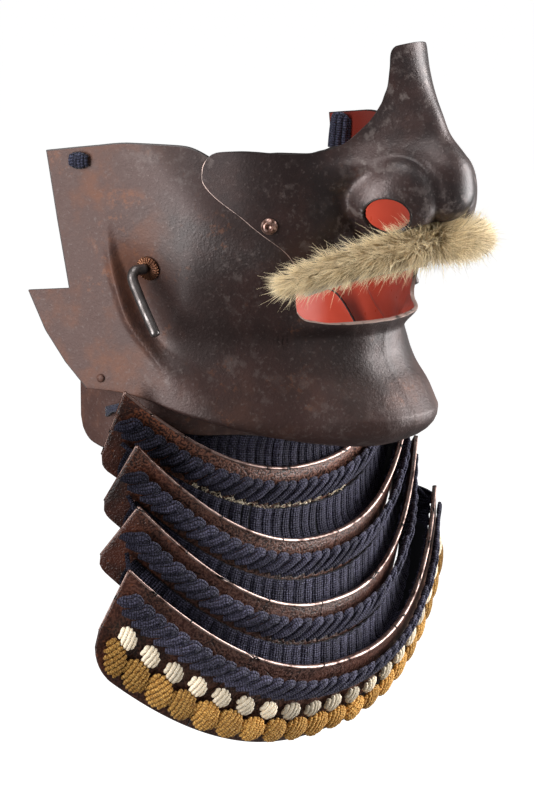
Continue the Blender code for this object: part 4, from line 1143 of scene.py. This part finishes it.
def nostril_ring(points):
    """The line round a nostril on the nose plate's face."""
    centre, axis = np.array(NOSTRIL["centre"]), unit(np.array(NOSTRIL["axis"]))
    level = unit(np.cross(UPWARD, axis))
    rise = np.cross(axis, level)
    local = points - centre
    depth = local @ axis
    flat = (local - depth[:, None] * axis)[abs(depth) < HOLE_DEPTH]
    depth = depth[abs(depth) < HOLE_DEPTH]
    ring = []
    for turn in np.linspace(0, 2 * math.pi, NOSTRIL_RING["points"]):
        point = NOSTRIL["long"] * math.cos(turn) * level + NOSTRIL["high"] * math.sin(turn) * rise
        nearest = np.argsort(np.linalg.norm(flat - point, axis=1))[:NOSTRIL_RING["nearest"]]
        ring.append(centre + point + (depth[nearest].mean() - NOSTRIL_RING["inset"]) * axis)
    return np.array(ring)


def build_collar():
    knots = np.arange(len(COLLAR["x"]))
    columns, rows = COLLAR_GRID
    at = np.linspace(0, knots[-1], columns)
    x, y, top, low = (ease(knots, COLLAR[key], at) for key in ("x", "y", "top", "bottom"))
    steps = np.hypot(np.diff(x), np.diff(y))
    to_end = np.concatenate([np.cumsum(steps[::-1])[::-1], [0.0]])
    inside = np.clip(COLLAR_CORNER - to_end, 0, COLLAR_CORNER)
    low = low + COLLAR_CORNER - np.sqrt(COLLAR_CORNER**2 - inside**2)
    share = np.linspace(0, 1, rows)[None, :, None]
    lower, upper = np.stack([x, y, low], axis=-1), np.stack([x, y, top], axis=-1)
    grid = lower[:, None] * (1 - share) + upper[:, None] * share
    skins = ["russet_iron", "red_lacquer", "lip_edge"]
    shell("collar", grid, COLLAR_THICK, ["collar_plate"], skins)


def build_fittings():
    seat = on_side(HOOK["y"], HOOK["z"])
    hook_axis = side_normal(HOOK["y"], HOOK["z"])
    x, z = STUD_SEAT["x"], STUD_SEAT["z"]
    normal = face_normal(np.array(x), np.array(z))
    stud_seat = np.array([x, float(face_y(x, z)), z]) + NOSE_PROUD * normal
    rivet_seat = on_side(RIVET_SEAT["y"], RIVET_SEAT["z"])
    for side, sign in SIDES:
        dome = turned(
            WASHER_PROFILE, mirrored(seat, sign), mirrored(hook_axis, sign),
            WASHER["petals"] * WASHER["steps"], petal_groove,
        )
        piece("petal_washer_" + side, [dome], [f"hook_washer_{side}"], "washer_copper")
        build_hook(side, sign, seat)
        stud = turned(STUD, mirrored(stud_seat, sign), mirrored(normal, sign))
        piece("stud_" + side, [stud], [f"nose_stud_{side}"], "stud_copper")
        rivet = turned(RIVET, mirrored(rivet_seat, sign), mirrored(SIDE_NORMAL, sign))
        piece("rivet_" + side, [rivet], [f"collar_rivet_{side}"], "russet_iron")
        build_temple(side, sign)


def petal_groove(radius, angle):
    """How deep the washer is cut between its petals."""
    inner, outer = WASHER["band"]
    deep = WASHER["groove"] * ramp(*inner, radius) * (1 - ramp(*outer, radius))
    return deep * (0.5 + 0.5 * np.cos(WASHER["petals"] * angle)) ** 2


def build_hook(side, sign, seat):
    route = smooth_route(mirrored(seat + np.array(HOOK_ROUTE), sign), HOOK["spacing"])
    share = np.linspace(0, 1, len(route))
    radius = HOOK["radius"] * (1 + (HOOK["tip"] - 1) * share)
    start, length, narrowed = HOOK["rounding"]
    radius = radius * np.sqrt(1 - np.clip((share - start) / length, 0, 1) ** 2 * narrowed)
    part = cords(route[None], radius[None], mirrored(SIDE_NORMAL, sign), sides=20)
    piece("hook_" + side, [part], [f"cord_hook_{side}"], "hook_iron")


def build_temple(side, sign):
    """The knot outside the temple hole, and the bundle of cord ends that it holds inside."""
    hole = on_side(TEMPLE_HOLE["y"], TEMPLE_HOLE["z"])
    forward = unit(np.cross(SIDE_NORMAL, UPWARD))
    spread = np.linspace(-KNOT["half_width"], KNOT["half_width"], KNOT["cords"])
    u = np.linspace(-1, 1, KNOT["points"])
    reach = np.sqrt(np.maximum(1 - (spread / KNOT["oval"]) ** 2, 0))[:, None] * KNOT["half_height"]
    bulge = KNOT["bulge"] * np.sqrt(np.maximum(1 - u**2, 0))[None]
    out = KNOT["seat"] + bulge * (1 - (spread[:, None] / KNOT["round"]) ** 2)
    knot = hole + spread[:, None, None] * forward + (u * reach)[..., None] * UPWARD
    knot = knot + out[..., None] * SIDE_NORMAL
    bundle = []
    for turn in np.linspace(0, 2 * math.pi, BUNDLE["cords"], endpoint=False):
        points = []
        for inward, rise, bend, lean, radius in BUNDLE["path"]:
            bend = math.radians(bend)
            outer = math.cos(bend) * UPWARD - math.sin(bend) * SIDE_NORMAL
            ring = radius * (math.cos(turn) * forward + math.sin(turn) * outer) + lean * forward
            points.append(hole + ring - inward * SIDE_NORMAL + BUNDLE[side] * rise * UPWARD)
        bundle.append(even_route(points, BUNDLE["points"]))
    parts = [
        cords(mirrored(knot, sign), KNOT["radius"], mirrored(SIDE_NORMAL, sign), 8),
        cords(mirrored(bundle, sign), BUNDLE["radius"], mirrored(forward, sign), 10),
    ]
    piece("temple_knot_" + side, parts, [f"temple_cord_{side}"], "tied_silk")


def along_route(route, at):
    """The points at shares of a route from 0 to 1."""
    share = np.linspace(0, 1, len(route))
    return np.stack([np.interp(at, share, route[:, k]) for k in range(3)], axis=-1)


def build_moustache(side, sign):
    """Half of the moustache: hairs rooted round a core and combed toward the outer end."""
    route = smooth_route(MOUSTACHE[side], FUR["spacing"])
    if sign < 0:
        route = mirrored(route, -1)
    count = FUR["hairs"]
    at = RNG.beta(*FUR["crowding"], count)
    centre = along_route(route, at)
    heading = unit(along_route(unit(np.gradient(route, axis=0)), at))
    ahead = unit(np.cross(UPWARD, heading) * sign * -1)
    above = unit(np.cross(heading, ahead))
    above = above * np.sign(above[:, 2:])
    full = ease(FUR["share"], FUR[side], at)
    turn = RNG.uniform(0, 2 * math.pi, count)
    radial = np.cos(turn)[:, None] * ahead + np.sin(turn)[:, None] * above
    depth = FUR["core"] + FUR["layer"] * RNG.random(count) ** FUR["dense"]
    root = centre + (depth * full)[:, None] * radial
    # How flat each hair is combed, from standing out at 0 to lying along at 1
    flat, flatter = FUR["combed"]
    lay = flat + flatter * at + RNG.normal(0, FUR["unruly"], count)
    length = RNG.uniform(*FUR["length"], count) + RNG.exponential(FUR["longer"], count)
    length = length * (1 - FUR["cropped"] * at)
    wave = FUR["tuft"] * (centre + 0.6 * radial[:, 2:])
    tuft = np.stack([np.sin(wave[:, k] + k) for k in (0, 2, 1)], axis=-1)
    stray = RNG.normal(0, FUR["stray"], (count, 3)) + FUR["bunched"] * tuft
    upright, less = FUR["stands"]
    along = heading * lay[:, None] * FUR["leans"]
    start = unit(radial * (upright - less * lay)[:, None] + along + stray)
    bent = unit(start + heading * FUR["swept"] + stray * 0.8 - FUR["droop"] * UPWARD)
    straight, curved = FUR["bend"]
    tip = root + length[:, None] * (straight * start + curved * bent)
    knee = root + 0.5 * length[:, None] * start
    u = np.linspace(0, 1, len(FUR["taper"]))[None, :, None]
    hairs = root[:, None] * (1 - u) ** 2 + 2 * knee[:, None] * u * (1 - u) + tip[:, None] * u * u
    thick = FUR["thick"] * np.array(FUR["taper"])[None] * np.ones((count, 1))
    parts = [cords(hairs, thick, radial[:, None], sides=3)]
    core = FUR["core"] * FUR["core_swell"] * ease(FUR["share"], FUR[side], np.linspace(0, 1, len(route)))
    core[-2:] *= np.array(FUR["core_end"])
    parts.append(cords(route[None], core[None], UPWARD, sides=24, tone=[0.5]))
    piece("moustache_fur_" + side, parts, [f"moustache_{side}"], "fur")
    first, last = STRIP["part"]
    strip = route[first:last] - np.array(STRIP["below"])
    part = cords(strip[None], STRIP["radius"], [0.0, -1.0, 0.0], sides=10, flat=STRIP["flat"])
    piece("moustache_strip_" + side, [part], [], "moustache_hide")


# ---------------------------------------------------------------- the throat guard


def build_lame(index):
    """One lame, with its rolled rim and the thin rims of its ends."""
    columns, rows = LAME_GRID
    height = lame_height(index)
    grid = on_lame(index, np.linspace(1, 0, columns)[:, None], np.linspace(0, height, rows))[0]
    skins = [f"lacquered_hide_{index + 1}"] * 3
    name = f"throat_lame_{index + 1}"
    shell(f"lame_{index + 1}", grid, LAME_THICK, [name], skins)
    line = LameLine(index, 0.0)
    shares = line.share(line.spots(RIM["points"], 1.0))
    route, facing = on_lame(index, shares, RIM["down"], RIM["out"])
    thick = RIM["radius"] * (1 - RIM["thinned"] * shares**2)
    parts = [cords(route[None], thick[None], facing[None], sides=12)]
    for end in (-1.0, 1.0):
        down = np.linspace(0.5, height, RIM["end_points"])
        route, facing = on_lame(index, np.full(len(down), end), down, -LAME_THICK / 2)
        parts.append(cords(route[None], RIM["end_radius"], facing[None], sides=8))
    piece(f"lame_rim_{index + 1}", parts, [], "worn_copper_rim")


def build_loops(index):
    """The slanted loops of lacing along a lame, like a laid rope."""
    line = LameLine(index, LACQUER_BAND + LOOP_BAND / 2)
    reach = line.arc[-1] - LOOP["margin"]
    count = round(2 * reach / LOOP["pitch"]) + 1
    spots = np.linspace(-reach, reach, count)
    pitch = spots[1] - spots[0]
    strands, points_each = LOOP["strands"], LOOP["points"]
    path = even_route(np.array(LOOP_PATH) * np.array([pitch, LOOP_BAND, 1.0]), points_each)
    turn = unit(np.gradient(path[:, :2], axis=0))
    side = np.stack([turn[:, 1], -turn[:, 0]], axis=-1)
    u = np.linspace(0, 1, points_each)
    strand = np.arange(strands) - (strands - 1) / 2
    # The strands draw together at the loop's foot and again at its head
    (at_foot, *foot), (at_head, *head) = LOOP["foot"], LOOP["head"]
    fan = (1 - at_foot + at_foot * ramp(*foot, u)) * (1 - at_head * ramp(*head, u))
    offset = LOOP["spacing"] * strand[:, None] * fan
    crown = LOOP["crown"] * (1 - (strand / strand[-1]) ** 2)[:, None] * np.sin(math.pi * u)
    size = 1 + RNG.normal(0, LOOP["uneven"], count)[:, None, None]
    drift = RNG.normal(0, LOOP["drift"], count)[:, None, None]
    along = spots[:, None, None] + drift + size * (path[:, 0] + offset * side[:, 0])
    limit = line.arc[-1] - LOOP["radius"]
    limit = np.where(along > 0, limit - FAR["bare"], limit)
    over = np.maximum(abs(along) - limit + LOOP["margin"] / 2, 0) / LOOP["margin"]
    along = np.sign(along) * (abs(along) - LOOP["margin"] * over * over / (over + 0.5))
    down = LACQUER_BAND + path[:, 1] + offset * side[:, 1] + 0 * along
    flat = 1 - FAR["flat"] * ramp(*FAR["from"], along / limit)
    out = LOOP["radius"] + size * (path[:, 2] + crown) * flat
    points, facing = on_lame(index, line.share(along), down, out)
    slim = LOOP["slim"]
    radius = LOOP["radius"] * (1 - slim + slim * np.sin(math.pi * u) ** 0.5)
    shape = (count * strands, points_each)
    part = cords(
        points.reshape(*shape, 3), np.broadcast_to(radius, shape), facing.reshape(*shape, 3),
        sides=7, tone=np.repeat(RNG.random(count), strands),
    )
    name = f"lacing_loops_{index + 1}"
    piece(f"loops_{index + 1}", [part], [name], "indigo_silk")


def curtain_points(index, s, u, belly=0.0):
    """Points on the middle of a curtain, from the piece above at u = 0 to its tuck at u = 1. It
    may belly out toward the wearer's left end."""
    half = CURTAIN["thick"] / 2
    s = np.asarray(s, float)
    belly = belly * ramp(*CURTAIN["bellied"], s)
    tuck = on_lame(index, s, CURTAIN["tuck"], 0.3 * belly - (LAME_THICK + GAP + half))[0]
    if index == 0:
        edge = collar_lower(s)
        ahead = collar_lower(s + 0.01) - collar_lower(s - 0.01)
        inward = unit(np.cross(ahead, -UPWARD))
        start = edge + (COLLAR_THICK + GAP + half) * inward + CURTAIN["lap"] * UPWARD
        knee = 0.5 * (start + tuck) + np.array(CURTAIN["collar_sag"])
    else:
        low = LACQUER_BAND + LOOP_BAND + CURTAIN["below_loops"]
        start = on_lame(index - 1, s, low, GAP + half)[0]
        knee_out = GAP + half + CURTAIN["knee_out"] + belly
        knee = on_lame(index - 1, s, lame_height(index - 1) - CURTAIN["knee_up"], knee_out)[0]
    bend = 2 * knee - (start + tuck) / 2
    u = u[..., None]
    return start * (1 - u) ** 2 + bend * 2 * u * (1 - u) + tuck * u * u


def build_curtain(index):
    """The hanging cords between a lame and the piece above it, in groups of ribs."""
    line = LameLine(index, CURTAIN["tuck"])
    right, left = np.interp(CURTAIN["ends"], line.s, line.arc)
    spots = np.linspace(-right, left, CURTAIN["groups"])
    pitch = spots[1] - spots[0]
    u = np.linspace(0, 1, CURTAIN["points"])
    strand = np.arange(RIB["strands"]) - (RIB["strands"] - 1) / 2
    offset = strand * pitch * RIB["spread"] / RIB["strands"]
    sway = RNG.normal(0, RIB["sway"], len(spots))[:, None, None] * np.sin(math.pi * u)
    sway = sway + RIB["lean"] * (u - 0.5) - RIB["bow"] * np.sin(math.pi * u)
    along = spots[:, None, None] + offset[None, :, None] + sway
    shares = line.share(along)
    points = curtain_points(index, shares, np.broadcast_to(u, shares.shape), CURTAIN["belly"])
    facing = on_lame(index, shares, CURTAIN["tuck"])[1]
    crown = RIB["crown"] * (1 - (strand / strand[-1]) ** 2)[None, :, None]
    lift = crown + RNG.normal(0, RIB["uneven"], (len(spots), 1, 1)) - RIB["sunk"]
    points = points + np.broadcast_to(lift, shares.shape)[..., None] * facing
    shape = (len(spots) * RIB["strands"], len(u), 3)
    tone = np.repeat(RNG.random(len(spots)), RIB["strands"])
    part = cords(
        points.reshape(shape), RIB["radius"], facing.reshape(shape), 6, RIB["flat"], tone=tone
    )
    name = f"lacing_curtain_{index + 1}"
    piece(f"curtain_{index + 1}", [part], [name], "indigo_silk")
    build_shadow_sheet(index, line)


def build_shadow_sheet(index, line):
    """A dark sheet of painted shade, for the lacing's depth where it shows between the cords of
    a curtain.
    """
    columns, rows = SHADOW_SHEET["grid"]
    spots = line.spots(columns, CURTAIN["ends"][0] + SHADOW_SHEET["wider"])
    shares = line.share(spots)[columns // 2:][::-1]
    shares[-1] = 0.0
    grid = curtain_points(index, shares[:, None], np.linspace(0, 1, rows)[None])
    skins = ["indigo_shadow"] * 3
    name = f"curtain_shadow_sheet_{index + 1}"
    shell(name, grid, SHADOW_SHEET["thick"], [], skins, edge=SHADOW_SHEET["edge"])


def build_knots(colour, row):
    """A row of cross knots on the bottom lame, each a cushion of plaited cord."""
    line = LameLine(3, row["down"])
    strands = row["strands"]
    place_across = (np.arange(strands) - (strands - 1) / 2) / (strands / 2)
    u = np.linspace(-1, 1, CUSHION["points"])
    parts = []
    for spot in line.spots(row["count"], row["end"]):
        size = row["radius"] * (1 + RNG.normal(0, CUSHION["uneven"]))
        tilt = RNG.normal(*CUSHION["tilt"])
        across = place_across * size * CUSHION["spread"]
        half = np.sqrt(np.maximum(size**2 - across**2, 0.3))
        rib = size / strands * CUSHION["fat"]
        wave = row["wave"] * np.sin(2 * math.pi * u[None] * half[:, None] / WAVE_LENGTH + 1.0)
        a = across[:, None] + wave
        d = u[None] * (half[:, None] - rib * 0.5)
        from_middle = (across[:, None] ** 2 + d**2) / size**2
        lift = np.sqrt(np.maximum(CUSHION["edge"] - from_middle, 0.0))
        out = CUSHION["seat"] + (row["proud"] - rib) * lift ** CUSHION["dome"]
        along = a * math.cos(tilt) - d * math.sin(tilt)
        down = a * math.sin(tilt) + d * math.cos(tilt)
        points, facing = on_lame(3, line.share(spot + along), row["down"] + down, out)
        slim = CUSHION["slim"]
        taper = rib * (1 - slim + slim * np.sqrt(np.maximum(1 - u**4, 0)))
        tone = np.full(strands, RNG.random())
        parts.append(cords(points, taper[None], facing, sides=8, tone=tone))
    silk = colour + "_silk"
    piece(colour + "_cross_knots", parts, [colour + "_knots"], silk)


def build_side_laces():
    """The short plaited laces between the lames' ends."""
    radius = SIDE_LACE["radius"] + SIDE_LACE["spread"]
    for index in range(3):
        low = LACQUER_BAND + LOOP_BAND + SIDE_LACE["below_loops"]
        start = on_lame(index, SIDE_LACE["top_share"], low, GAP + radius)[0]
        inside = -(LAME_THICK + GAP + radius)
        end = on_lame(index + 1, SIDE_LACE["foot_share"], SIDE_LACE["foot_down"], inside)[0]
        outward = on_lame(index, SIDE_LACE["knee_share"], 0.8 * lame_height(index))[1]
        knee = 0.5 * (start + end) + SIDE_LACE["knee_out"] * outward
        route = smooth_route([start, knee, end], SIDE_LACE["spacing"])
        for side, sign in SIDES:
            part = braid(
                mirrored(route, sign), SIDE_LACE["radius"], SIDE_LACE["spread"],
                SIDE_LACE["pitch"], mirrored(outward, sign),
            )
            replaced = f"side_lace_{side}_{index + 1}"
            name = f"end_lace_{side}_{index + 1}"
            piece(name, [part], [replaced], "indigo_silk")


def build_tab_cords():
    """The cord that ties lame 1's ends to the collar's rear tabs."""
    inner = on_lame(0, TAB_CORD["lame"], TAB_CORD["down"], -LAME_THICK)[0]
    for side, sign in SIDES:
        parts = []
        for rise in TAB_CORD["rises"]:
            start = np.array(TAB_CORD["tab"]) + rise * UPWARD
            knee = 0.5 * (start + inner) + np.array(TAB_CORD["knee"])
            route = even_route([start, knee, inner + rise * UPWARD], TAB_CORD["points"])
            parts.append(cords(mirrored(route, sign)[None], TAB_CORD["radius"], UPWARD, 8))
        piece("tab_cord_" + side, parts, [], "tied_silk")


def build_frays():
    """Cut ends of thread that stand out along the foot of the top lame."""
    line = LameLine(0, FRAYS["down"])
    count = FRAYS["count"]
    spots = RNG.uniform(*FRAYS["along"], count) * line.arc[-1]
    down = FRAYS["down"] + RNG.normal(0, FRAYS["uneven"], count)
    root, facing = on_lame(0, line.share(spots), down, FRAYS["out"])
    aim = unit(RNG.normal(0, 1.0, (count, 3)) * np.array(FRAYS["aim"]))
    size = RNG.uniform(*FRAYS["length"], count)[:, None]
    curl = RNG.normal(0, FRAYS["curl"], (count, 3))
    middle = root + 0.45 * facing + curl * size
    routes = np.stack([root - 0.5 * size * aim, middle, root + 0.5 * size * aim], axis=1)
    part = cords(routes, FRAYS["radius"], facing[:, None], sides=5)
    piece("lame_frays", [part], [], "white_silk")


# ---------------------------------------------------------------- the studio


def build_studio():
    size, level = FLOOR["half_width"], cad_box[0][2] - FLOOR["below"]
    corners = [(-size, -size, level), (size, -size, level), (size, size, level), (-size, size, level)]
    mesh = bpy.data.meshes.new("floor")
    mesh.from_pydata(corners, [], [(0, 1, 2, 3)])
    ground = Paint("floor", (0.3, 0.3, 0.3))
    ground.bump(ground.noise(20.0), 0.5, 0.1)
    white = (1.0, 1.0, 1.0, 1.0)
    mesh.materials.append(ground.finish(
        Roughness=1.0, Specular_IOR_Level=0.0, Emission_Color=white, Emission_Strength=FLOOR["glow"],
    ))
    floor = bpy.data.objects.new("floor", mesh)
    floor.visible_diffuse = False
    floor.visible_glossy = False
    bpy.context.scene.collection.objects.link(floor)

    world = bpy.data.worlds.new("studio")
    world.use_nodes = True
    background = world.node_tree.nodes["Background"]
    background.inputs["Color"].default_value = white
    background.inputs["Strength"].default_value = WORLD
    bpy.context.scene.world = world

    centre = (cad_box[0] + cad_box[1]) / 2
    for name, direction, distance, size, power in LIGHTS:
        data = bpy.data.lights.new(name, "AREA")
        data.shape = "RECTANGLE"
        data.size, data.size_y = size
        data.energy = power
        aim = Vector(direction).normalized()
        place(bpy.data.objects.new(name, data), aim, centre + aim * distance)
    bpy.context.scene.view_settings.view_transform = "Standard"


def place(obj, back, location):
    """Puts a lamp or a camera in the scene, looking against the direction back."""
    obj.location = location
    obj.rotation_mode = "QUATERNION"
    obj.rotation_quaternion = back.to_track_quat("Z", "Y")
    bpy.context.scene.collection.objects.link(obj)


def build_camera():
    data = bpy.data.cameras.new("camera")
    data.lens = CAMERA["lens"]
    data.sensor_width = CAMERA["sensor"]
    data.clip_start, data.clip_end = CAMERA["clip"]
    azimuth, elevation = math.radians(CAMERA["azimuth"]), math.radians(CAMERA["elevation"])
    back = Vector((
        math.sin(azimuth) * math.cos(elevation), -math.cos(azimuth) * math.cos(elevation),
        math.sin(elevation),
    ))
    camera = bpy.data.objects.new("camera", data)
    place(camera, back, Vector(DATUM * MM) + back * CAMERA["distance"])
    bpy.context.scene.camera = camera


def main():
    build_face()
    build_nose()
    build_collar()
    build_fittings()
    for side, sign in SIDES:
        build_moustache(side, sign)
    for index in range(4):
        build_lame(index)
        build_loops(index)
        build_curtain(index)
    build_knots("white", WHITE_KNOTS)
    build_knots("gold", GOLD_KNOTS)
    build_side_laces()
    build_tab_cords()
    build_frays()
    build_studio()
    build_camera()


main()
